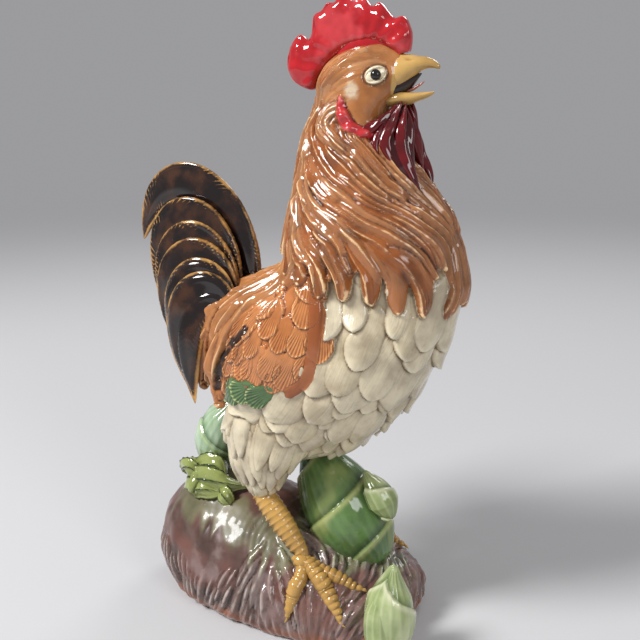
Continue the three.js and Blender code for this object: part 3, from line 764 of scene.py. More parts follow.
# %% Coverts and the smooth front band
GREEN_COVERTS = [(-8, -57, 188), (3, -61, 191), (16, -62, 191)]
GREEN_LENGTHS = (16.0, 17.0, 19.0)
WING_FRONT = [(45, -53, 256), (46, -56, 240), (45, -60, 216), (41, -61, 201), (30, -61, 192)]
BAND_REACH = 4.6
BAND_HEIGHT = 5.0
BAND_EDGE = 0.45


def rearward(points, facing):
    """Back and a little down, laid into the skin."""
    return laid_in(np.tile((-0.86, 0.0, -0.5), (len(points), 1)), facing)


for sign, wing in zip((1, -1), WINGS):
    paths, facing = paths_from(clay, mirrored(GREEN_COVERTS, sign), np.array(GREEN_LENGTHS), rearward)
    for path, normals in zip(paths, facing):
        press(clay, path, normals, 8.0, 4.0, 4.2, *DISHED, wing, green=1, tint=0.4)
cut(clay, in_wing, (9.8, 12.5), length=24, half_width=8.2, thick=3.8, lift=1.8, shape=DISHED, owner=WINGS,
    seed=4, size=wing_size, jitter=0.4, green=0)
for sign, wing in zip((1, -1), WINGS):
    band = nearness(clay, mirrored(WING_FRONT, sign), BAND_REACH, 3)
    clay.height += band * (BAND_HEIGHT - clay.height)
    clay.owner[band > BAND_EDGE] = wing
    clay.mark("front")[:] = np.maximum(clay.mark("front"), band)
    clay.mark("across")[band > BAND_EDGE] = 0.3


# %% [markdown]
# ## The hackle
# The cape hangs in heavy locks that swing slowly from side to side and end in a hem of long tongues over
# the cream breast. The locks come first. What they cut below the hem is put back, and the hem's tongues
# are pressed there one by one, each walked backwards from its tip. The locks are then softened, and fine
# strands are cut on the same clay as if it were flat, and added to them.

# %% Locks and the tongues of the hem
HEM_TIPS = [(8, -44, 263), (21, -51, 258), (34, -55, 259), (47, -55, 253), (63, -50, 253), (80, -46, 251),
            (95, -41, 245), (107, -31, 243), (117, -18, 240), (123, -3, 246)]
HEM_LENGTH = 52
CREAM_TOP = 236


def state_of(clay):
    """The clay's heights, owners and marks as they are now."""
    return clay.height.copy(), clay.owner.copy(), {name: values.copy() for name, values in clay.marks.items()}


def put_back(clay, state, where):
    """Takes the clay back to an earlier state over a part of the skin."""
    height, owner, marks = state
    clay.height[where], clay.owner[where] = height[where], owner[where]
    for name, values in clay.marks.items():
        values[where] = marks[name][where] if name in marks else 0


def hem_tongue(clay, tip, half_width, tint):
    """One long lock that ends at tip."""
    paths, facing = paths_from(clay, np.array([tip], float), np.array([-HEM_LENGTH]), swung_direction)
    press(clay, paths[0][::-1], facing[0][::-1], half_width, 5.0, 1.2, *LOCK, NECK[0], over=3.0, tint=tint)


hem = ramp(x, (-20, 276), (10, 272), (50, 271), (90, 268), (125, 262)) + 4 * np.sin(x * 0.45)
cream_top = in_breast & (z > CREAM_TOP)
clay.height[cream_top] = np.minimum(clay.height, ramp(z, (CREAM_TOP, 9.0), (262, 3.5)))[cream_top]
before = state_of(clay)
cut(clay, in_cape & (z > cape_edge + 10), (14.5, 36), length=70, half_width=9.0, thick=4.6, lift=0.4,
    shape=LOCK, owner=NECK, seed=5, size=lock_size, jitter=0.45, direction=swung_direction)
put_back(clay, before, z < hem)
for sign in (1, -1):
    for k, tip in enumerate(HEM_TIPS):
        hem_tongue(clay, mirrored(tip, sign), half_width=7.2 - 0.5 * (k % 2), tint=k * 3 % 7 / 7)
print("tongues in the hem:", 2 * len(HEM_TIPS))

# %% Fine strands over the locks
LOCK_SOFTNESS = 8
in_locks = (clay.owner == NECK[0]) | ((clay.owner < 0) & in_cape & (z > cape_edge + 4))
in_locks |= (z > hem + 5) & (x > 24) & (z < 310) & ((clay.owner < 0) | (clay.owner == TORSO[0]))
inside_locks = clay.spread(in_locks.astype(float), LOCK_SOFTNESS) > 0.97
clay.height = np.where(inside_locks, clay.spread(clay.height, LOCK_SOFTNESS), clay.height)
locks = state_of(clay)
clay.height[in_locks] = 0
cut(clay, in_cape, (5.8, 36), length=76, half_width=5.6, thick=4.0, lift=0.2, shape=STRAND, owner=NECK,
    seed=15, size=lock_size, jitter=0.5, direction=swung_direction)
put_back(clay, locks, ~in_locks)
clay.height[in_locks] += locks[0][in_locks]
clay.owner[in_locks] = NECK[0]

# %% Thumbed clay, and the dark slit at the wing's rear edge
SLIT = [(-8, -48, 224), (-20, -46, 213), (-30, -42, 202), (-36, -42, 190), (-39, -42, 178)]
SLIT_REACH = 3.4
SLIT_DEPTH = 1.5
KNEADED_SCALE = 0.075
kneaded = lumps(clay.co, KNEADED_SCALE)
pale = np.isin(clay.owner, TORSO + THIGHS) & (clay.mark("caramel") == 0)
clay.height += kneaded * np.where(pale, 1.5, 0.5) * (z < 330)
for sign in (1, -1):
    clay.mark("slit")[:] = np.maximum(clay.mark("slit"), nearness(clay, mirrored(SLIT, sign), SLIT_REACH, 4))
clay.height -= SLIT_DEPTH * clay.mark("slit")
clay.mark("caramel")[in_back | ((z > hem - 14) & (x < 36) & (clay.owner != NECK[0]))] = 1
print("points in the slit:", int((clay.mark("slit") > 0.5).sum()))

# %% [markdown]
# ## The head's own forms
# The face is modelled, not feathered: a full cheek, a brow over the eye, an ear patch behind it, and a red
# fold that runs from the ear under the cheek to the wattle. Each swelling is given by its middle, its half
# sizes and how proud it stands. Faint brush-like strokes run back over it all.

# %% Cheek, brow, ear and the sunk ring round the eye
HEAD_FOOT = 362
FACE_FORMS = [
    ((67, 15, 374), (13, 8, 9), 3.0),
    ((66, 17, 403), (12, 6, 4), 1.8),
    ((53, 19, 381), (6, 5, 7), 1.6),
    ((78, 10, 388), (6, 6, 10), 1.6),
]
EYE_MIDDLE = np.array((68.5, 15.5, 392.5))
EYE_LONG = np.array((0.83, -0.40, 0.39))
EYE_HALF_LONG = 6.8
EYE_HALF_HIGH = 4.5
EYE_RING = 1.4
here = np.stack([x, wide, z], 1)
on_head = z > HEAD_FOOT
for middle, size, proud in FACE_FORMS:
    away = np.linalg.norm((here - middle) / size, axis=1)
    clay.height += proud * np.exp(-away ** 2) * on_head * (clay.height <= 0)
eye_long = EYE_LONG / np.linalg.norm(EYE_LONG)
eye_out = np.array((-0.35, -0.90, 0.0)) * (-1, -1, 1)
eye_high = np.cross(eye_long, eye_out)
off_eye = here - EYE_MIDDLE
ring = np.hypot(off_eye @ eye_long / (EYE_HALF_LONG + EYE_RING),
                off_eye @ eye_high / (EYE_HALF_HIGH + EYE_RING))
clay.height -= 0.8 * np.exp(-((ring - 1) / 0.13) ** 2) * on_head
# Painted shade: the dark mark lays a thin line of ink colour in the sunk ring round the eye.
clay.mark("dark")[:] = np.exp(-((ring - 1) / 0.12) ** 2) * on_head * 0.6
horn_line = ramp(z, (366, 76), (380, 75), (406, 79))
clay.mark("horn")[:] = np.clip((x - horn_line) * 0.5, 0, 1) * (z > 366) * (z < 408)
# The ear patch: a paler ivory glaze with a painted highlight laid over it, broken by the kneaded lumps.
ear = np.linalg.norm((here - (54, 19, 382)) / (6.5, 7, 9.0), axis=1)
clay.mark("ivory")[:] = np.clip(1.2 - ear + kneaded * 0.6, 0, 1) * on_head * 0.7
in_face = on_head & (z < 407) & (x < 74) & (clay.owner < 0) & (ring > 1.15)
cut(clay, in_face, (3.6, 9), length=15, half_width=2.6, thick=0.8, lift=0.0, shape=STRAND, owner=HEAD,
    seed=6)

# %% The red fold and the comb's foot
COMB_FOOT = [(33, -15, 386), (42, -18, 395), (50, -16, 402), (58, -12, 406), (66, -7, 409), (82, -5, 406)]
RED_FOLD = [(46, -19, 379), (48, -20.5, 369), (54, -22, 360), (62, -20, 356), (69, -16, 358), (77, -14, 364)]


def lens_outline(along):
    return 0.25 + 0.75 * np.clip(np.sin(along * math.pi), 0, 1) ** 0.6


def rounded_ridge(across, along, edge):
    return (1 - across ** 2) ** 0.5 * np.clip(edge / 1.5, 0, 1) ** 0.6


for sign in (1, -1):
    line, normals = clay.snap(curve_points(mirrored(RED_FOLD, sign), WALK_STEPS + 1)[0])
    press(clay, line, normals, 5.0, 3.4, 0.6, lens_outline, rounded_ridge, HEAD[0], tint=0.3, red=1)
    wrinkled = np.flatnonzero(clay.mark("red") > 0)
    clay.height[wrinkled] += 1.6 * lumps(clay.co[wrinkled], 0.16)
    clay.height += 2.4 * nearness(clay, mirrored(COMB_FOOT, sign), 3.4, 2) * on_head
print("points in the red fold:", len(wrinkled))

# %% [markdown]
# ## From clay to a finished piece
# The heights are added along the skin's own direction. A point that stands above the average of its
# neighbours is a crest and one below it is a groove, and that difference is kept as an attribute, because
# it is what the glaze obeys. The body is then parted where one sub-part's feathers end and the next one's
# begin. Each part gets its cut edge folded inwards and closed, so that it is a closed shell of its own.

# %% Displacing and marking
CREST_REACH = 7
CREST_SCALE = 0.9
SHADE_REACH = 30
SHADE_SCALE = 2.4


def shape_clay(clay):
    """Moves the skin by its heights and stores every mark on its mesh."""
    clay.height = clay.height.astype(np.float32)
    proud = clay.height - clay.spread(clay.height, CREST_REACH)
    clay.marks["crest"] = proud / CREST_SCALE * clay.crest_share
    # The broader difference, kept as the shade attribute, drives painted shade in the cream's broad hollows
    # and a painted highlight on its broad tops.
    clay.marks["shade"] = (clay.height - clay.spread(clay.height, SHADE_REACH)) / SHADE_SCALE
    moved = clay.co + clay.facing * clay.height[:, None]
    clay.mesh.vertices.foreach_set("co", (moved * MM).astype(np.float32).ravel())
    for name, values in clay.marks.items():
        clay.mesh.attributes.new(name, "FLOAT", "POINT").data.foreach_set("value", values.astype(np.float32))
    clay.mesh.shade_smooth()
    clay.mesh.update()
    return clay.mesh


# %% Placing a finished piece
def place_piece(name, mesh, material, slot, *nodes):
    """Gives a finished mesh its glaze, hangs it under the root and hides the imported nodes it replaces."""
    mesh.name = name
    mesh.materials.clear()
    mesh.materials.append(material)
    mesh.shade_smooth()
    obj = new_object(name, mesh)
    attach(obj, "root")
    if nodes:
        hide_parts(*nodes)
    print(name, "triangles:", len(mesh.loops) - 2 * len(mesh.polygons))
    return obj


# %% Parting the skin and closing each part
LAP_DEPTH = 3.0
RIM_SMOOTHING = 4


def edge_groups(edges):
    """Edges sorted into groups that hang together."""
    left, groups = set(edges), []
    for first in edges:
        if first not in left:
            continue
        left.remove(first)
        group, front = [], [first]
        while front:
            edge = front.pop()
            group.append(edge)
            for other in [link for vert in edge.verts for link in vert.link_edges]:
                if other in left:
                    left.remove(other)
                    front.append(other)
        groups.append(group)
    return groups


def even_rim(bm):
    """Straightens the zigzag of a cut edge."""
    cut_edge = [vert for vert in bm.verts if vert.is_boundary]
    for _ in range(RIM_SMOOTHING):
        evened = {}
        for vert in cut_edge:
            beside = [edge.other_vert(vert).co for edge in vert.link_edges if edge.is_boundary]
            if len(beside) == 2:
                evened[vert] = vert.co * 0.5 + (beside[0] + beside[1]) * 0.25
        for vert, place in evened.items():
            vert.co = place
    bm.normal_update()


def part_of(mesh, labels, wanted):
    """The faces with one label, lapped inwards along their rim and closed deep inside."""
    bm = bmesh.new()
    bm.from_mesh(mesh)
    bm.faces.ensure_lookup_table()
    others = [face for face, label in zip(bm.faces, labels) if label != wanted]
    bmesh.ops.delete(bm, geom=others, context="FACES")
    even_rim(bm)
    inward = {vert.co.to_tuple(7): -vert.normal * LAP_DEPTH * MM for vert in bm.verts if vert.is_boundary}
    rim = [edge for edge in bm.edges if edge.is_boundary]
    for edge in rim:
        edge.smooth = False
    lapped = bmesh.ops.extrude_edge_only(bm, edges=rim)["geom"]
    for vert in lapped:
        if isinstance(vert, bmesh.types.BMVert):
            vert.co += inward.get(vert.co.to_tuple(7), Vector())
    for group in edge_groups([edge for edge in bm.edges if edge.is_boundary]):
        middle = sum((vert.co for edge in group for vert in edge.verts), Vector()) / (2 * len(group))
        grown = bmesh.ops.extrude_edge_only(bm, edges=group)["geom"]
        tips = [item for item in grown if isinstance(item, bmesh.types.BMVert)]
        bmesh.ops.pointmerge(bm, verts=tips, merge_co=middle)
    still_open = sum(edge.is_boundary for edge in bm.edges)
    return mesh_from(bm, "part"), still_open


# %% Which piece each point belongs to
body_trees = {}
for label, node in enumerate(OWNERS):
    node_bm = copy_of(node)
    body_trees[label] = BVHTree.FromBMesh(node_bm)
    node_bm.free()

clay.owner[(clay.owner < 0) & (z < cape_edge + 3) & ~in_wing & ~in_thigh] = 0
bare = np.flatnonzero(clay.owner < 0)
for i in bare:
    point = Vector(clay.co[i]) * MM
    clay.owner[i] = min(body_trees, key=lambda label: body_trees[label].find_nearest(point)[3])
torso_label, neck_label, head_label = TORSO[0], NECK[0], HEAD[0]
face_edge = ramp(x, (40, 376), (50, 360), (60, 352))
clay.owner[(clay.owner == neck_label) & (clay.marks["across"] == 0) & (z > face_edge)] = head_label
PARTS = [*OWNERS, "saddles"]
clay.owner[(clay.owner == torso_label) & (clay.mark("caramel") > 0.5)] = PARTS.index("saddles")
shares = np.stack([clay.spread((clay.owner == label).astype(float), 3) for label in range(len(PARTS))])
clay.owner = shares.argmax(0)
clay.crest_share = np.clip((shares.max(0) - 0.55) / 0.4, 0, 1)
print("bare points given to the nearest piece:", len(bare))

# %% [markdown]
# ## The bent ball
# Legs, toes, tail feathers, beak halves, wattles, shoots and the vine are all one kind of form: a lump of
# clay rolled out, bent and flattened. A sphere is the same form before it is bent. So a UV sphere is made
# once, and each of its points slides to its place on a path: its latitude says how far along, and its
# longitude which way from the middle. The sphere's own closed skin and poles come along unharmed.

# %% The bent ball helper
PATH_POINTS = 160


def bent_ball(points, wide, deep, side=(0, 1, 0), blunt=(0.5, 0.5), around=28, rings=60, upright=False):
    """A ball bent along a path. wide is its half width towards side, and deep its half depth across that,
    both as lists of values from the first end to the last. upright keeps its slices across the X axis."""
    bm = bmesh.new()
    bmesh.ops.create_uvsphere(bm, u_segments=around, v_segments=rings, radius=1)
    bm.verts.ensure_lookup_table()
    ball = np.array([vert.co for vert in bm.verts])
    polar = np.arccos(np.clip(ball[:, 2], -1, 1))
    along = 1 - polar / math.pi
    ring = np.hypot(ball[:, 0], ball[:, 1])
    turn = np.where(ring > 1e-6, np.arctan2(ball[:, 1], ball[:, 0]), 0)
    line, way, length = curve_points(points, PATH_POINTS)
    share = np.linspace(0, 1, len(line))
    at = np.stack([np.interp(along, share, line[:, k]) for k in range(3)], 1)
    tangent = np.stack([np.interp(along, share, way[:, k]) for k in range(3)], 1)
    if upright:
        tangent = np.tile((1.0, 0.0, 0.0), (len(at), 1))
    tangent /= np.linalg.norm(tangent, axis=1, keepdims=True)
    across = np.array(side, float) - tangent * (tangent @ np.array(side, float))[:, None]
    across /= np.linalg.norm(across, axis=1, keepdims=True)
    over = np.cross(tangent, across)
    fullness = np.sin(polar) ** np.interp(along, (0, 1), blunt)
    half_wide = np.interp(along, np.linspace(0, 1, len(wide)), wide) * fullness
    half_deep = np.interp(along, np.linspace(0, 1, len(deep)), deep) * fullness
    placed = at + across * (half_wide * np.cos(turn))[:, None] + over * (half_deep * np.sin(turn))[:, None]
    for vert, point in zip(bm.verts, placed * MM):
        vert.co = point
    bmesh.ops.recalc_face_normals(bm, faces=bm.faces)
    clay = Clay(bm)
    clay.along, clay.turn, clay.length = along, turn, length
    clay.half_wide, clay.half_deep = half_wide, half_deep
    clay.mark("along")[:] = along
    clay.mark("turn")[:] = np.cos(turn)
    return clay


def joined(*clays):
    """Several pieces of shaped clay in one mesh."""
    bm = bmesh.new()
    for clay in clays:
        bm.from_mesh(shape_clay(clay))
    return mesh_from(bm, "joined")


# %% [markdown]
# ## The glazes
# One recipe serves every colour: a dark pooled tone in the grooves, the glaze's own tone between, and a
# pale one where it ran thin on the crests. A broad noise makes patches where it was brushed on thicker,
# a fine one makes specks, and a faint bump keeps the coat from looking like plastic.

# %% The glaze recipe
CREST_GROOVE = (-0.9, 0.05)
CREST_THIN = (0.25, 1.1)
LATE_CRESTS = (1.0, 3.2)
PATCH_SIZE = 55
SPECK_SIZE = 420


def glaze_tones(glaze, pooled, own, thin, patch=0.5, tint=0.25, grain=0.0, crests=CREST_THIN):
    """The three tones of one glaze, laid by the relief, with patches and a tint for each feather."""
    crest = glaze.attribute("crest")
    broad = glaze.noise(PATCH_SIZE, 4)
    colour = glaze.mix(broad.between(0.35, 0.7) * patch, own, pooled)
    colour = glaze.mix(glaze.attribute("tint") * tint, colour, thin)
    ragged = crest + (glaze.noise(SPECK_SIZE, 3) - 0.5) * 0.4 + grain
    colour = glaze.mix(1 - ragged.between(*CREST_GROOVE), colour, pooled)
    return glaze.mix(ragged.between(*crests), colour, thin)


def satin_bump(glaze, amount=0.35):
    """The slow waviness of a thick fired coat, with a few pin holes."""
    pins = glaze.noise(900, 2).between(0.70, 0.78)
    return glaze.noise(140, 2) * amount - pins * 0.5


# %% Grain and barbs of a feather
BARBS_PER_MM = 0.62
BARB_SPREAD = 0.4


def feather_grain(glaze, slant):
    """Fine lines that run along each feather, or slant away from its middle."""
    off_middle = glaze.node("ShaderNodeMath", {"operation": "ABSOLUTE"}, {0: glaze.attribute("across")})
    grid = glaze.node("ShaderNodeCombineXYZ", None, {
        "X": glaze.attribute("across") * 1.1,
        "Y": glaze.attribute("along") * 2.0 - off_middle * slant,
        "Z": glaze.attribute("tint") * 37.0})
    return glaze.noise(1.0, 2, grid)


def barb_lines(glaze):
    """Fine lines that fan out from a feather's root, fading in and out over the body."""
    fan = glaze.node("ShaderNodeMath", {"operation": "DIVIDE"},
                     {0: glaze.attribute("across"), 1: glaze.attribute("along") + BARB_SPREAD})
    turns = fan * (BARBS_PER_MM * 2 * math.pi) + glaze.noise(90, 2) * 1.6
    wave = glaze.node("ShaderNodeMath", {"operation": "SINE"}, {0: turns})
    outer = glaze.attribute("along").between(0.2, 0.6)
    return wave * outer * glaze.noise(30, 2).between(0.28, 0.50)


# %% [markdown]
# ## Glazes that follow the feathers
# The body's glazes also know each feather: a tint of its own, a fine grain along it, and on the wings the
# barbs. Some have a second colour where a mark says so, and small marks are painted over at the end. The
# cream is thick, so it pales late; its broad hollows get painted shade and its broad tops a painted
# highlight.

# %% The body's recipe
# CREAM_SHADE is the painted shade that the cream's broad hollows are browned towards.
CREAM_SHADE = (0.24, 0.155, 0.075)
FEATHER_TINT = 0.15


def body_glaze(name, tones, second=None, mask="caramel", barbed=0.0, marked=(), fleck=0.9, thick=False):
    """The glaze of one body part. marked lists (attribute, share, raggedness, colour) painted over."""
    glaze = Glaze(name)
    grain = feather_grain(glaze, slant=1.0 if barbed else 0.0)
    relief = (grain - 0.5) * fleck
    if barbed:
        barbs = barb_lines(glaze)
        relief = relief + barbs * barbed
        grain = grain + barbs * barbed * 1.2
    colour = glaze_tones(glaze, *tones, tint=FEATHER_TINT, grain=relief,
                         crests=LATE_CRESTS if thick else CREST_THIN)
    # Painted shade and painted highlight: broad hollows are browned towards CREAM_SHADE and broad tops paled
    # towards the thin tone.
    if thick:
        colour = glaze.mix((1 - glaze.attribute("shade").between(-1.1, 0.3)) * 0.85, colour, CREAM_SHADE)
        colour = glaze.mix(glaze.attribute("shade").between(0.1, 1.3) * 0.5, colour, tones[2])
    if second:
        other = glaze_tones(glaze, *second, tint=FEATHER_TINT, grain=relief)
        colour = glaze.mix(glaze.attribute(mask).between(0.2, 0.8), colour, other)
    for attribute, share, ragged, over in marked:
        where = glaze.attribute(attribute)
        where = where + (glaze.noise(160, 3) - 0.5) * where * ragged
        colour = glaze.mix(where.between(0.15, 0.75) * share, colour, over)
    rough = glaze.noise(90).between(0.2, 0.9) * 0.14 + 0.09
    return glaze.wear(colour, rough, satin_bump(glaze) + grain * 1.2)


# %% The body's colours
CREAM = ((0.120, 0.068, 0.028), (0.66, 0.575, 0.400), (0.93, 0.89, 0.75))
CARAMEL = ((0.050, 0.010, 0.002), (0.300, 0.084, 0.016), (0.95, 0.66, 0.36))
SADDLE = ((0.14, 0.034, 0.007), (0.42, 0.151, 0.039), (0.865, 0.577, 0.298))
FACE = ((0.14, 0.040, 0.011), (0.44, 0.175, 0.055), (0.88, 0.64, 0.38))
TAN = ((0.17, 0.040, 0.010), (0.48, 0.170, 0.050), (0.80, 0.42, 0.18))
LEAF_GREEN = ((0.010, 0.036, 0.014), (0.060, 0.140, 0.045), (0.42, 0.46, 0.20))
FOLD_RED = ((0.14, 0.004, 0.007), (0.44, 0.018, 0.024), (0.66, 0.15, 0.14))
HORN = (0.52, 0.32, 0.10)
# The ear patch's colour: paler ivory glaze and a painted highlight in one.
IVORY_AND_PAINTED_HIGHLIGHT = (0.80, 0.74, 0.56)
INK = (0.016, 0.008, 0.006)
CHESTNUT = (0.25, 0.064, 0.017)
SLIT_MARK = ("slit", 0.94, 2.6, INK)
FRONT_MARK = ("front", 0.85, 0.8, CHESTNUT)
# The dark mark is painted shade in the sunk ring round the eye.
HEAD_MARKS = [("ivory", 0.55, 2.6, IVORY_AND_PAINTED_HIGHLIGHT), ("horn", 1.0, 0.3, HORN), ("dark", 0.8, 0.0, INK)]

# thick=True also brings the cream's painted shade in broad hollows and painted highlight on broad tops.
cream_glaze = body_glaze("cream_glaze", CREAM, SADDLE, marked=[SLIT_MARK], thick=True)
saddle_glaze = body_glaze("saddle_glaze", SADDLE, marked=[SLIT_MARK])
caramel_glaze = body_glaze("caramel_glaze", CARAMEL, fleck=0.45)
head_glaze = body_glaze("head_glaze", FACE, FOLD_RED, "red", marked=HEAD_MARKS, fleck=0.5)
wing_glaze = body_glaze("wing_glaze", TAN, LEAF_GREEN, "green", barbed=0.5, marked=[SLIT_MARK, FRONT_MARK])
print("body glazes:", [m.name for m in bpy.data.materials if m.name.endswith("_glaze")])

# %% The body's pieces
SIDE_LIMIT = ((57, 1.0), (66, 0.45))
FRONT_LIMIT = ((108, 1.0), (124, 0.62))
# The relief is held back where the bird is widest and foremost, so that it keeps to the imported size.
clay.height *= ramp(wide, *SIDE_LIMIT) * ramp(x, *FRONT_LIMIT)
shape_clay(clay)
corners = np.empty(len(clay.mesh.loops), np.int32)
clay.mesh.loops.foreach_get("vertex_index", corners)
# A face takes the second lowest label of its four corners, so that one odd corner decides nothing.
labels = np.sort(clay.owner[corners.reshape(-1, 4)], axis=1)[:, 1]
BODY_PIECES = {
    "torso_shell": ("torso", cream_glaze, "cream_glaze"),
    "neck": ("neck_and_hackle", caramel_glaze, "caramel_glaze"),
    "head": ("head", head_glaze, "caramel_glaze"),
    "wing_right": ("wing_right_feathers", wing_glaze, "caramel_glaze"),
    "wing_left": ("wing_left_feathers", wing_glaze, "caramel_glaze"),
    "thigh_right": ("thigh_right_feathers", cream_glaze, "cream_glaze"),
    "thigh_left": ("thigh_left_feathers", cream_glaze, "cream_glaze"),
    "saddles": ("saddle_strands", saddle_glaze, "caramel_glaze"),
}
SADDLE_NODES = [node for node in BODY_NODES if node.startswith("saddle")]
for label, node in enumerate(PARTS):
    name, material, slot = BODY_PIECES[node]
    mesh, still_open = part_of(clay.mesh, labels, label)
    place_piece(name, mesh, material, slot, *(SADDLE_NODES if node == "saddles" else [node]))
    print("open edges:", still_open)


# %% [markdown]
# ## The tail
# The sickle feathers are flat crescents that spring from the rump and nest inside each other. Each follows
# one curve with two handles, and the curves between the named ones give the smaller feathers that fill
# the fan. Barbs slant from the middle to the edge, where the dark glaze broke to ochre.

# %% Tail feathers
TAIL_SIZE = 100
RUMP = (-33.4, 221.0)
# Root, two handles and tip of four feathers, the largest first, measured from RUMP in units of TAIL_SIZE.
TAIL_CURVES = np.array([
    [(0.04, 0.12), (-0.04, 0.82), (-0.71, 1.36), (-0.93, 0.50)],
    [(-0.06, 0.12), (-0.14, 0.84), (-0.88, 1.03), (-0.63, -0.10)],
    [(-0.06, 0.05), (-0.08, 0.54), (-0.74, 0.66), (-0.50, -0.28)],
    [(-0.01, -0.01), (-0.08, 0.36), (-0.56, 0.36), (-0.36, -0.52)],
])
TAIL_SPREAD = 7.6
PLUME_HALF_WIDTH = 14.5
PLUME_HALF_DEPTH = 3.8
BARB_GAP = 3.4
RIM_WIDTH = 2.6


def plume_path(step, out):
    """The middle line of the tail feather at a step inwards from the main one."""
    low = min(int(step), 2)
    root, rise, reach, tip = TAIL_CURVES[low] + (TAIL_CURVES[low + 1] - TAIL_CURVES[low]) * (step - low)
    t = np.linspace(0, 1, 12)[:, None]
    flat = (1 - t) ** 3 * root + 3 * (1 - t) ** 2 * t * rise + 3 * (1 - t) * t * t * reach + t ** 3 * tip
    lean = np.interp(t[:, 0], (0, 0.33, 0.66, 1), (1, 1, 1.25, 1.4))
    return np.stack([RUMP[0] + TAIL_SIZE * flat[:, 0], out * lean, RUMP[1] + TAIL_SIZE * flat[:, 1]], 1)


def plume(step, out, width=1.0):
    """One sickle feather with its shaft, barbs and pale edge."""
    wide = [PLUME_HALF_DEPTH * k for k in (0.9, 1, 1, 0.9, 0.6)]
    deep = [PLUME_HALF_WIDTH * width * k for k in (0.72, 0.95, 1.05, 1, 0.85, 0.5)]
    clay = bent_ball(plume_path(step, out), wide, deep, blunt=(0.5, 0.6), around=40, rings=110)
    vane = np.sin(clay.turn)
    flat_side = np.abs(np.cos(clay.turn)) ** 0.5
    reach = np.abs(vane) * clay.half_deep
    slanting = (clay.along * clay.length - 0.9 * reach) / BARB_GAP
    barb = np.sin(slanting * 2 * math.pi + 2 * np.sin(clay.along * 37))
    edge = np.clip(clay.half_deep - reach, 0, None)
    lip = np.exp(-((edge - 1.0) / 1.6) ** 2)
    hollow = np.exp(-((edge - 5.0) / 2.6) ** 2)
    near_edge = np.clip(1.3 - edge / 7.0, 0, 1)
    swell = np.sin(clay.along * 9 + step * 5) * 0.5
    clay.height = (0.9 * lip - 0.9 * hollow + 0.34 * barb * near_edge + swell) * flat_side
    clay.height *= np.clip(np.sin(clay.along * math.pi) * 5, 0, 1)
    clay.mark("rim")[:] = np.clip(1.3 - edge / RIM_WIDTH, 0, 1) * (0.55 + 0.45 * (vane > 0))
    clay.mark("barb")[:] = barb * near_edge
    return clay


# %% The tail's dark glaze
TAIL_BLACK = (0.010, 0.006, 0.006)
TAIL_BROWN = (0.050, 0.020, 0.010)
TAIL_STREAK = (0.25, 0.12, 0.045)
DARK_OCHRE = (0.30, 0.12, 0.022)
PALE_OCHRE = (0.66, 0.38, 0.12)
tail_paint = Glaze("tail_glaze", roughness=0.1)
dark = tail_paint.mix(tail_paint.noise(60, 4).between(0.42, 0.70), TAIL_BLACK, TAIL_BROWN)
ochre = tail_paint.mix(tail_paint.noise(150), DARK_OCHRE, PALE_OCHRE)
patchy = tail_paint.noise(34, 3)
rim = tail_paint.attribute("rim") + (tail_paint.noise(90, 3) - 0.5) * 0.9
colour = tail_paint.mix(rim.between(0.30, 0.75) * 0.95, dark, ochre)
barbs = tail_paint.attribute("barb") + (patchy - 0.62) * 3.0 + tail_paint.attribute("rim") * 0.4
colour = tail_paint.mix(barbs.between(0.15, 0.75) * 0.8, colour, ochre)
streak = tail_paint.attribute("crest") + (tail_paint.noise(45, 2) - 0.55) * 3.0
colour = tail_paint.mix(streak.between(0.4, 1.6) * 0.3, colour, TAIL_STREAK)
tail_glaze = tail_paint.wear(colour, bump=satin_bump(tail_paint, 0.2))

# %% The fan
place_piece("tail_sickle_main_feather", joined(plume(0, 0, 1.2)), tail_glaze, "tail_glaze",
            "tail_sickle_main")
for side, sign in (("right", -1), ("left", 1)):
    for n in (1, 2, 3):
        out = sign * TAIL_SPREAD * n
        feathers = [plume(n, out, 1.05)]
        if n > 1:
            feathers.append(plume(n - 0.5, out - sign * TAIL_SPREAD * 0.5, 0.9))
        if n == 3:
            feathers += [plume(n + 0.45, out + sign * 1.5, 0.8)]
        place_piece(f"tail_sickle_{side}_{n}_feathers", joined(*feathers), tail_glaze, "tail_glaze",
                    f"tail_sickle_{side}_{n}")
print("tail feathers placed")

# %% [markdown]
# ## Legs and feet
# A cock's shank wears a stack of horny plates, and so does each toe. The middle line of each limb is read
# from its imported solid, cut into slices along its length, and a bent ball follows it. The plates are a row
# of rounded steps in the relief, strong in front and weak behind.

# %% Middle lines and horny plates
SPINE_SLICES = 6


def spine(node):
    """The middle line of a long solid, measured in slices along its longest way, and its two ends."""
    points = np.array([v.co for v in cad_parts[node].data.vertices]) / MM
    middle = points.mean(0)
    axis = np.linalg.svd(points - middle)[2][0]
    run = (points - middle) @ axis
    cuts = np.linspace(run.min(), run.max(), SPINE_SLICES + 1)
    line = []
    for low, high in zip(cuts, cuts[1:]):
        part = points[(run >= low - 1) & (run <= high + 1)]
        if len(part) >= 3:
            line.append((part.max(0) + part.min(0)) / 2)
    return np.array(line), (middle + axis * run.min(), middle + axis * run.max())


def plated(line, girths, plate, height, around=36, rings=90, blunt=(0.4, 0.8)):
    """A limb with horny plates across its upper side."""
    clay = bent_ball(line, girths, girths, blunt=blunt, around=around, rings=rings)
    share = (clay.along * clay.length / plate) % 1
    bulge = np.clip(np.sin(share * math.pi), 0, 1) ** 0.55
    front = 0.30 + 0.70 * np.clip(clay.facing @ np.array((0.45, 0, 0.9)) + 0.25, 0, 1)
    inside = np.clip(clay.along * 8, 0, 1) * np.clip((1 - clay.along) * 9, 0, 1)
    clay.height = height * (bulge - 0.6) * front * inside
    return clay


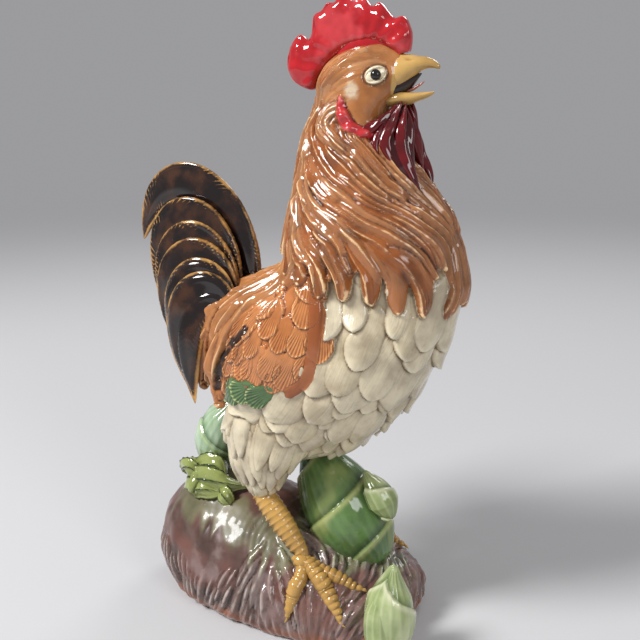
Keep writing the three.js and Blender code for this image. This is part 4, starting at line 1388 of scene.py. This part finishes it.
# %% Shanks and toes
SHANK_PLATE = 4.6
TOE_PLATE = 4.4
SHANK_GIRTHS = (9.6, 9.4, 8.8, 8.2, 8.4)
TOE_GIRTHS = {"inner": (6.6, 5.4, 5.0, 4.6, 4.0, 2.6), "middle": (7.6, 6.8, 6.2, 5.6, 4.6, 3.0),
              "outer": (7.2, 6.4, 6.0, 5.4, 4.6, 3.0), "hind": (6, 5.5, 5.0, 4.5)}
AMBER = ((0.090, 0.036, 0.009), (0.50, 0.285, 0.075), (0.74, 0.52, 0.22))
amber_paint = Glaze("amber_glaze", roughness=0.14)
amber_glaze = amber_paint.wear(glaze_tones(amber_paint, *AMBER, patch=0.35), bump=satin_bump(amber_paint))

for side in ("right", "left"):
    line = spine(f"shank_{side}")[0]
    if line[0][2] < line[-1][2]:
        line = line[::-1]
    way = (line[-1] - line[0]) / np.linalg.norm(line[-1] - line[0])
    foot = line[-1] + way * 1.5
    line = np.stack([line[0] - way * 12, line[0], (line[0] + foot) / 2, foot, foot + way * 3])
    shank = plated(line, SHANK_GIRTHS, SHANK_PLATE, 2.2, around=48, rings=150, blunt=(0.25, 0.4))
    place_piece(f"shank_{side}_scaled", joined(shank), amber_glaze, "amber_glaze", f"shank_{side}")
    for toe, girths in TOE_GIRTHS.items():
        node = f"toe_{toe}_{side}"
        toe_line, ends = spine(node)
        if np.linalg.norm(toe_line[0] - foot) > np.linalg.norm(toe_line[-1] - foot):
            toe_line, ends = toe_line[::-1], ends[::-1]
        toe_line = np.vstack([foot + (0, 0, -1.0), toe_line[1:], ends[1]])
        form = plated(toe_line, girths, TOE_PLATE, 1.7)
        place_piece(f"{node}_scaled", joined(form), amber_glaze, "amber_glaze", node)


# %% [markdown]
# ## The comb
# The comb was cut from a slab and its points were rounded with a wet finger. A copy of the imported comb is
# remeshed and smoothed, its flanks swell a little away from their edges, and soft flutes run out to the
# points. A roll of clay along its foot joins it to the head.

# %% Comb
COMB_VOXEL = 1.9 * MM
FLUTE_CENTRE = (52, 396)
FLUTES = 22
CRIMSON = ((0.17, 0.004, 0.007), (0.43, 0.011, 0.016), (0.74, 0.15, 0.15))
PAINTED_PINK_SHEEN = (0.66, 0.085, 0.095)


def clay_of(node, voxel, smoothing):
    """A node's solid remeshed, smoothed and made fine."""
    bm = remeshed(copy_of(node), voxel)
    smooth(bm, smoothing)
    return Clay(subdivided(bm, 1))


comb_paint = Glaze("comb_glaze", roughness=0.12)
colour = glaze_tones(comb_paint, *CRIMSON, patch=0.35)
# Painted highlight: pink patches laid over the crimson as a painted sheen.
colour = comb_paint.mix(comb_paint.noise(38, 3).between(0.50, 0.62) * 0.4, colour, PAINTED_PINK_SHEEN)
comb_glaze = comb_paint.wear(colour, bump=satin_bump(comb_paint))

comb = clay_of("comb", COMB_VOXEL, smoothing=3)
flank = np.abs(comb.facing[:, 1]) ** 3
depth_in = comb.spread(1 - flank, 40)
comb.height = flank * (1.7 - 4.5 * depth_in)
forward, upward = comb.co[:, 0] - FLUTE_CENTRE[0], comb.co[:, 2] - FLUTE_CENTRE[1]
flute = np.cos(np.arctan2(upward, forward) * FLUTES)
comb.height += 0.45 * flank * flute * np.clip((np.hypot(upward, forward) - 14) / 14, 0, 1)
comb.height += (1.1 * lumps(comb.co, 0.085) + 0.5 * lumps(comb.co, 0.19)) * flank
comb_root = bent_ball([(33, 0, 392), (43, 0, 405), (58, 0, 413), (72, 0, 414), (84, 0, 410)],
                      (4.6, 5.4, 5.6, 5.2, 4), (7, 10, 10, 9, 5), rings=60)
place_piece("comb_fluted", joined(comb, comb_root), comb_glaze, "comb_glaze", "comb")

# %% [markdown]
# ## The wattles
# Each wattle is a bundle of folds that hang from the lower beak and sweep back to the throat. Every fold is
# a bent ball, given by its path, its half thicknesses and its half heights. One lies behind them, darkened
# as painted shade between the folds.

# %% Wattles
MAROON = ((0.016, 0.001, 0.002), (0.125, 0.004, 0.006), (0.58, 0.085, 0.075))
WATTLE_BODY = ([(80, 8, 374), (75, 12, 360), (76, 16, 347), (84, 17, 334), (93, 15.5, 322), (101, 12.5, 309)],
               (3.4, 3.8, 4.0, 4.0, 3.4, 2.4), (6, 10, 11, 10, 7, 3))
WATTLE_FOLDS = [
    ([(82, 9, 375), (73, 14, 362), (69, 18.5, 348), (75, 20, 335), (87, 18.5, 323), (100, 13, 309)],
     (2.6, 3.0, 3.4, 3.4, 3.0, 2.0), (4.0, 4.4, 4.4, 4.6, 4.4, 2.6)),
    ([(84, 8, 376), (80, 13, 364), (77, 18.5, 352), (81, 19.5, 341), (88, 18.5, 331)],
     (2.4, 2.8, 3.0, 2.8, 1.8), (3.2, 3.6, 3.8, 3.4, 2.2)),
    ([(86, 6, 376), (86, 10.5, 365), (86, 15, 354), (88, 17, 342), (95, 16, 329), (101, 12.5, 314)],
     (2.4, 2.8, 3.0, 3.0, 2.6, 1.8), (3.0, 3.2, 3.8, 4.2, 3.8, 2.2)),
    ([(84, 3, 375), (87, 5, 362), (88, 8, 350), (91, 9, 338), (95, 9, 327)],
     (2.6, 3.0, 3.2, 3.0, 2.0), (3.4, 3.8, 4.0, 3.6, 2.4)),
    ([(78, 12, 370), (68, 17, 360), (58, 21, 357)], (2.4, 3.0, 2.0), (3.4, 4.4, 2.6)),
]
wattle_paint = Glaze("wattle_glaze", roughness=0.12)
colour = glaze_tones(wattle_paint, *MAROON, patch=0.7)
# Painted shade: the fold behind the others, marked deep, is mixed towards the darkest maroon.
colour = wattle_paint.mix(wattle_paint.attribute("deep") * 0.8, colour, MAROON[0])
wattle_glaze = wattle_paint.wear(colour, bump=satin_bump(wattle_paint))
for side, sign in (("right", -1), ("left", 1)):
    folds = []
    for points, thick, high in (WATTLE_BODY, *WATTLE_FOLDS):
        fold = bent_ball(mirrored(points, sign), thick, high, blunt=(0.5, 0.6), around=32, rings=70)
        ripple = np.sin(fold.turn * 3 + fold.along * 7.0 + len(folds))
        fold.height = 0.5 * ripple * np.sin(fold.along * math.pi)
        fold.height += 0.9 * lumps(fold.co, 0.11)
        # Only the first, the body behind the folds, is marked for painted shade.
        fold.mark("deep")[:] = len(folds) == 0
        folds.append(fold)
    place_piece(f"wattle_{side}_folded", joined(*folds), wattle_glaze, "comb_glaze", f"wattle_{side}")


# %% [markdown]
# ## Beak and tongue
# Both halves of the beak are bent balls whose slices stay upright, which keeps their roots flat against
# the face. The lower half has a trough for the tongue.

# %% Beak
BEAK = ((0.16, 0.070, 0.016), (0.52, 0.32, 0.10), (0.70, 0.50, 0.22))
NOSTRIL = (87, 5.5, 402.5)
UPPER_HALF = [(66, 0, 394), (74, 0, 393.5), (81, 0, 394), (88, 0, 397.3), (95, 0, 399.7),
              (101, 0, 399.3), (106.0, 0, 397.2)]
LOWER_HALF = [(66, 0, 376.5), (74, 0, 377), (81, 0, 378), (88, 0, 378.8), (95, 0, 380.2), (102.6, 0, 382.2)]
beak_paint = Glaze("beak_glaze", roughness=0.14)
beak_glaze = beak_paint.wear(glaze_tones(beak_paint, *BEAK, patch=0.4), bump=satin_bump(beak_paint))
upper = bent_ball(UPPER_HALF, (9, 9.8, 9.6, 7.6, 5.5, 4.1, 3.3), (12, 13, 12.4, 8.6, 5.1, 3.9, 3.9),
                  blunt=(0.3, 0.36), around=56, rings=110, upright=True)
for sign in (1, -1):
    away = np.linalg.norm((upper.co - mirrored(NOSTRIL, sign)) / (3.2, 3, 1.3), axis=1)
    upper.height -= 1.3 * np.exp(-away ** 2)
place_piece("beak_upper_smooth", joined(upper), beak_glaze, "amber_glaze", "beak_upper")
lower = bent_ball(LOWER_HALF, (8.6, 9.6, 9.2, 7.0, 5.2, 4.2), (5.4, 5.6, 5.2, 4.3, 3.7, 3.5),
                  blunt=(0.35, 0.32), around=48, rings=100, upright=True)
trough = np.clip(lower.facing[:, 2], 0, 1) * np.exp(-(lower.co[:, 1] / 4.5) ** 2)
lower.height = -1.6 * trough * np.clip((lower.co[:, 0] - 76) / 6, 0, 1)
place_piece("beak_lower_smooth", joined(lower), beak_glaze, "amber_glaze", "beak_lower")

# %% Tongue
TONGUE_TONES = ((0.20, 0.050, 0.040), (0.42, 0.15, 0.12))
TONGUE_VOXEL = 0.9 * MM
tongue_paint = Glaze("tongue_glaze")
tongue_colour = tongue_paint.mix(tongue_paint.noise(200), *TONGUE_TONES)
tongue_glaze = tongue_paint.wear(tongue_colour, bump=satin_bump(tongue_paint))
place_piece("tongue_smooth", joined(clay_of("tongue", TONGUE_VOXEL, smoothing=3)), tongue_glaze,
            "tongue_glaze", "tongue")

# %% [markdown]
# ## Eyes, and the painted shade in the mouth
# The eye is a black glazed bead that stands proud of a cream, almond-shaped lens. Two thin rolls of clay,
# an upper and a lower lid, close the almond's edge. Behind the open beak a near-black lining is put as
# painted shade, and shuts off the view into the head.

# %% Eyes
EYE_GIRTHS = (3.6, 3.7, 3.6)
EYE_TONES = ((0.004, 0.004, 0.005), (0.016, 0.010, 0.008))
LID_TONES = ((0.74, 0.68, 0.50), (0.56, 0.42, 0.24))
eye_paint = Glaze("eye_glaze", roughness=0.06)
eye_glaze = eye_paint.wear(eye_paint.mix(eye_paint.noise(300), *EYE_TONES))
lid_paint = Glaze("eyelid_glaze")
lid_colour = lid_paint.mix(lid_paint.noise(350).between(0.45, 0.75), *LID_TONES)
lid_glaze = lid_paint.wear(lid_colour, bump=satin_bump(lid_paint))
for side, sign in (("right", -1), ("left", 1)):
    middle = mirrored(EYE_MIDDLE + eye_out * 0.6, sign)
    long, high, out = (mirrored(way, sign) for way in (eye_long, eye_high, eye_out))
    ball = bent_ball([middle + out * k for k in (-3.4, 0.2, 3.6)], EYE_GIRTHS, EYE_GIRTHS, tuple(long),
                     blunt=(0.5, 0.38), around=48, rings=40)
    place_piece(f"eye_{side}_ball", joined(ball), eye_glaze, "eye_glaze", f"eye_{side}")
    lids = [bent_ball([middle + long * k for k in (-EYE_HALF_LONG, 0, EYE_HALF_LONG)], (3.6, 4.6, 3.6),
                      (1.6, 1.9, 1.6), tuple(high), around=40, rings=40)]
    for way in (1, -1):
        turns = np.linspace(math.pi, 0, 9)
        edge = [middle + long * math.cos(a) * EYE_HALF_LONG + high * way * math.sin(a) * EYE_HALF_HIGH
                + out * (0.9 - 1.4 * abs(math.cos(a))) for a in turns]
        lids.append(bent_ball(edge, (0.8, 1.2, 1.3, 1.2, 0.8), (0.7, 1.0, 1.0, 1.0, 0.7), tuple(out),
                              around=24, rings=60))
    place_piece(f"eyelids_{side}", joined(*lids), lid_glaze, "cream_glaze")

# %% The painted shade in the mouth
MOUTH_SHADE_TONES = ((0.006, 0.003, 0.003), (0.022, 0.008, 0.006))
mouth_shade_paint = Glaze("mouth_lining_glaze", roughness=0.3)
mouth_shade_glaze = mouth_shade_paint.wear(mouth_shade_paint.mix(mouth_shade_paint.noise(120), *MOUTH_SHADE_TONES),
                               bump=satin_bump(mouth_shade_paint))
# Painted shade: a near-black lump fills the open beak where the mouth lies in shade.
mouth = bent_ball([(64, 0, 383), (76, 0, 384), (85, 0, 387), (94, 0, 393.5)], (9, 8.4, 6.0, 3.4),
                  (9, 7.5, 5.4, 2.8), blunt=(0.5, 0.6), around=40, rings=40, upright=True)
place_piece("mouth_lining", joined(mouth), mouth_shade_glaze, "tongue_glaze")


# %% [markdown]
# ## The rock
# The mound was thrown hollow and its foot scraped flat. While it was leather hard, short strokes of a
# loop tool were dragged downhill over its lower part. The same feather press makes those strokes, with
# the slope as their direction. Its glaze is a mauve brown with lilac clouds, and rust at the foot.

# %% Strokes down the rock
ROCK_VOXEL = 2.5 * MM
rock = clay_of("rock_base", ROCK_VOXEL, smoothing=4)


def downhill(points, facing):
    """Straight down the slope, with a slow swing from side to side."""
    swing = np.sin(points[:, 0] / 17) * 0.35 + np.sin(points[:, 1] / 13 + 1.7) * 0.3
    return laid_in(np.stack([swing, 0.6 * np.cos(points[:, 0] / 23), np.full(len(points), -1.0)], 1), facing)


def stroke_height(across, along, edge):
    """One drag of a loop tool: a low rounded ridge."""
    return (1 - np.abs(across) ** 1.4) * np.sin(np.clip(along, 0.02, 0.98) * math.pi) ** 0.5


rx, ry, rz = rock.co.T
rock_low, rock_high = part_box("rock_base")
outward = ((rock.co - np.array((rock_low + rock_high) / 2 / MM)) * rock.facing).sum(1)
outside = (rock.facing[:, 2] > -0.75) & (outward > 8) & (rz > 5)
carve_top = 58 + 12 * np.sin(rx / 19) + ramp(rx, (-70, -22), (-30, -4), (0, 6), (60, 14))
cut(rock, outside & (rz < carve_top), (4.2, 15), length=29, half_width=3.1, thick=3.4, lift=0.0,
    shape=(strand_outline, stroke_height), owner=(0,), seed=11, jitter=1.2, direction=downhill)
rock.mark("smooth")[:] = (rock.height <= 0) & (rz > 20)
rock.marks["smooth"] = rock.spread(rock.marks["smooth"], 12)
thumbed = 1.6 * lumps(rock.co, 0.045) + 0.7 * lumps(rock.co, 0.11)
rock.height += thumbed * np.clip((rz - 4) / 8, 0, 1) * (outward > 4)

# %% Ripples round the feet, and the green glaze that ran from the shoots
FEET = [(22, -42), (22, 42)]
RIPPLE_GAP = 4.4
RIPPLE_HEIGHT = 0.18
# Where the green ran: a place on the right side and a size for each run.
GREEN_RUNS = [(-76, -24, 78, 15), (-54, -31, 77, 17), (-34, -36, 74, 15), (-12, -40, 68, 17),
              (6, -38, 66, 20), (18, -40, 62, 16), (30, -8, 66, 22), (56, -16, 50, 18),
              (78, 2, 44, 16), (-60, 6, 88, 22)]
run_share = rock.mark("green")
for sign in (1, -1):
    for gx, gy, gz, size in GREEN_RUNS:
        away = np.linalg.norm((rock.co - (gx, gy * sign, gz)) / (1, 1, 1.2), axis=1) / size
        run_share[:] = np.maximum(run_share, np.clip(1.5 - away, 0, 1))
drip = np.sin(rx * 0.42 + np.sin(rx * 0.13) * 2) * 0.30
run_share[:] = np.clip(run_share + drip * (run_share > 0.05), 0, 1)
for fx, fy in FEET:
    away = np.hypot(rx - fx + 14, ry - fy)
    fading = np.exp(-((away - 16) / 13) ** 2) * (rz > 30)
    rock.height += RIPPLE_HEIGHT * np.sin(away / RIPPLE_GAP * 2 * math.pi) * fading
rock.height += 0.7 * np.clip((run_share - 0.3) * 3, 0, 1)
rock.height *= np.clip((rz - 1) / 7, 0, 1)
print("points under the green glaze:", int((run_share > 0.5).sum()))

# %% The rock's glaze
ROCK = ((0.022, 0.009, 0.007), (0.110, 0.062, 0.050), (0.47, 0.39, 0.355))
RUN = ((0.035, 0.042, 0.016), (0.165, 0.155, 0.085), (0.42, 0.43, 0.30))
ROSE_BROWN = (0.175, 0.070, 0.054)
LILAC = (0.29, 0.215, 0.205)
RUST = (0.27, 0.075, 0.022)
rock_paint = Glaze("rock_glaze", roughness=0.2)
colour = glaze_tones(rock_paint, *ROCK, patch=0.6)
colour = rock_paint.mix(rock_paint.noise(24, 3).between(0.46, 0.62) * 0.55, colour, ROSE_BROWN)
colour = rock_paint.mix(rock_paint.noise(38, 5).between(0.52, 0.66) * 0.5, colour, LILAC)
ran = rock_paint.attribute("green") + (rock_paint.noise(70, 3) - 0.5) * 0.5
colour = rock_paint.mix(ran.between(0.30, 0.95) * 0.85, colour, glaze_tones(rock_paint, *RUN, patch=0.5))
height_up = rock_paint.node("ShaderNodeSeparateXYZ", None, {"Vector": rock_paint.place}, "Z")
rust = (1 - (height_up + (rock_paint.noise(60, 3) - 0.5) * 0.02).between(0.004, 0.016)) * 0.8
colour = rock_paint.mix(rust, colour, RUST)
dull = rock_paint.attribute("smooth")
join(rock_paint.tree, rock_paint.shader.inputs["Coat Weight"], 0.65 - dull * 0.45)
rough = rock_paint.noise(60).between(0.3, 0.8) * 0.16 + 0.09 + dull * 0.22
rock_glaze = rock_paint.wear(colour, rough, satin_bump(rock_paint, 0.5))
place_piece("rock_carved", joined(rock), rock_glaze, "rock_glaze", "rock_base")

# %% [markdown]
# ## Bamboo shoots
# A shoot is a cone of overlapping sheaths. Each sheath wraps most of the way round, ends in a slanting
# pointed edge, and is ribbed along its length. Seen as relief, that is a row of steps along the shoot
# whose edges rise and fall with the way round it.

# %% One shoot and its glaze
def shoot(points, girth, sheaths, slant, turn, thick=2.2, ribs=26, blunt=(0.4, 0.75), start=0.0):
    """A shoot of overlapping sheaths, root first. slant tilts their edges towards the turn they face."""
    clay = bent_ball(points, girth, girth, blunt=blunt, around=120, rings=160)
    swing = np.abs(((clay.turn + turn) / math.pi) % 2 - 1)
    phase = clay.along * sheaths + slant * (swing - 0.5) + start
    step, share = np.floor(phase), phase % 1
    lip = np.clip((1 - share) / 0.05, 0, 1)
    rib = np.cos(clay.turn * ribs)
    clay.height = thick * (0.25 + 0.75 * share) * lip ** 0.6 + 0.16 * rib
    clay.height *= np.clip(np.sin(clay.along * math.pi) * 6, 0, 1)
    clay.mark("rim")[:] = np.exp(-((share - 0.93) / 0.05) ** 2)
    clay.mark("root")[:] = np.exp(-(share / 0.10) ** 2)
    clay.mark("rib")[:] = rib
    clay.mark("tint")[:] = (step * 0.37) % 1
    return clay


def shoot_glaze(name, pooled, own, thin, edge, ribbed=0.35):
    glaze = Glaze(name, roughness=0.1)
    colour = glaze_tones(glaze, pooled, own, thin, patch=0.5, tint=0.2)
    runny = glaze.noise(1.0, 3, glaze.stretched((45, 45, 16)))
    colour = glaze.mix(runny.between(0.46, 0.68) * 0.75, colour, thin)
    ribs = (glaze.attribute("rib") + glaze.noise(120, 3) * 1.5).between(0.9, 2.2)
    colour = glaze.mix(ribs * ribbed, colour, thin)
    colour = glaze.mix(glaze.attribute("root") * 0.75, colour, pooled)
    colour = glaze.mix(glaze.attribute("rim") * 0.7, colour, edge)
    return glaze.wear(colour, bump=satin_bump(glaze, 0.25))


# %% The four shoots
DEEP_GREEN = ((0.020, 0.048, 0.016), (0.100, 0.200, 0.060), (0.27, 0.32, 0.11), (0.40, 0.42, 0.17))
PALE_GREEN = ((0.085, 0.125, 0.035), (0.33, 0.40, 0.17), (0.56, 0.60, 0.36), (0.62, 0.62, 0.42))
MINT = ((0.06, 0.12, 0.04), (0.24, 0.36, 0.19), (0.50, 0.62, 0.46), (0.40, 0.52, 0.25))
green = shoot_glaze("shoot_glaze", *DEEP_GREEN, ribbed=0.12)
pale_green = shoot_glaze("pale_shoot_glaze", *PALE_GREEN)
mint = shoot_glaze("rear_shoot_glaze", *MINT)

large = shoot([(70, 2, 40), (52, 2, 66), (34, 2, 92), (19, 2, 114), (10, 2, 127)], (29, 31, 29.5, 26, 22),
              sheaths=2.86, slant=-0.5, turn=1.57, start=0.5)
place_piece("shoot_large_sheathed", joined(large), green, "shoot_glaze", "shoot_large")
bud = shoot([(82, -6, 83), (75, -7, 98), (68, -7, 108), (60, -6, 117)], (8.5, 11, 8.5, 3.5),
            sheaths=1.7, slant=0.5, turn=0.5, thick=1.4, ribs=12)
place_piece("shoot_bud_sheathed", joined(bud), pale_green, "pale_shoot_glaze", "shoot_bud")
rear = shoot([(-73, 8, 84), (-71, 8, 109), (-62, 8, 131), (-47, 8, 155)], (15, 19, 17, 7),
             sheaths=2.4, slant=0.7, turn=1.0, thick=1.8, ribs=18)
place_piece("shoot_rear_sheathed", joined(rear), mint, "shoot_glaze", "shoot_rear")
front_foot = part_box("shoot_front")[0].z / MM + 2
front = shoot([(97, -48, front_foot), (98, -48, 28), (98, -48, 52), (100, -48, 73)], (15.5, 17, 14.5, 6),
              sheaths=1.6, slant=0.8, turn=0.3, ribs=16, blunt=(0.3, 0.7))
front_leaf = shoot([(96, -54, front_foot), (94, -58, 24), (93, -57, 44), (96, -52, 60)], (9, 10, 8.5, 3.5),
                   sheaths=1.0, slant=0.3, turn=0.3, thick=1.2, ribs=12)
place_piece("shoot_front_sheathed", joined(front, front_leaf), pale_green, "pale_shoot_glaze", "shoot_front")

# %% [markdown]
# ## The vine
# A few thick strings of clay were laid over each other behind the bird's leg and grooved with a needle.
# Each is a bent ball with five grooves that wind slowly round it.

# %% Vine
VINE = ((0.022, 0.040, 0.010), (0.27, 0.31, 0.095), (0.74, 0.76, 0.40))
VINE_ROPES = [
    ([(-85, -6, 86), (-77, -15, 93), (-62, -22, 95), (-46, -24, 93), (-30, -18, 90)], 7.6),
    ([(-86, -13, 85), (-73, -24, 86), (-58, -28, 87), (-42, -27, 86)], 6.4),
    ([(-80, -10, 94), (-70, -12, 102), (-57, -15, 101), (-48, -22, 95)], 6.6),
    ([(-87, -10, 87), (-85, -15, 96), (-76, -20, 98), (-67, -23, 91)], 5.6),
    ([(-60, -22, 97), (-68, -27, 90), (-74, -27, 81)], 5.8),
    ([(-48, -24, 94), (-42, -29, 86), (-39, -30, 79)], 5.0),
]
vine_paint = Glaze("vine_glaze", roughness=0.1)
vine_glaze = vine_paint.wear(glaze_tones(vine_paint, *VINE, patch=0.4), bump=satin_bump(vine_paint, 0.25))
ropes = []
for points, girth in VINE_ROPES:
    girths = (girth * 0.9, girth * 1.2, girth * 1.15, girth * 0.7)
    rope = bent_ball(points, girths, girths, around=48, rings=90)
    groove = 1 - np.abs(np.sin(rope.turn * 2.5 + rope.along * 4))
    rope.height = (0.6 - 2.6 * groove ** 3) * np.sin(rope.along * math.pi)
    rope.height += 2.2 * lumps(rope.co, 0.08)
    ropes.append(rope)
place_piece("vine_ribbed", joined(*ropes), vine_glaze, "vine_glaze", "vine")
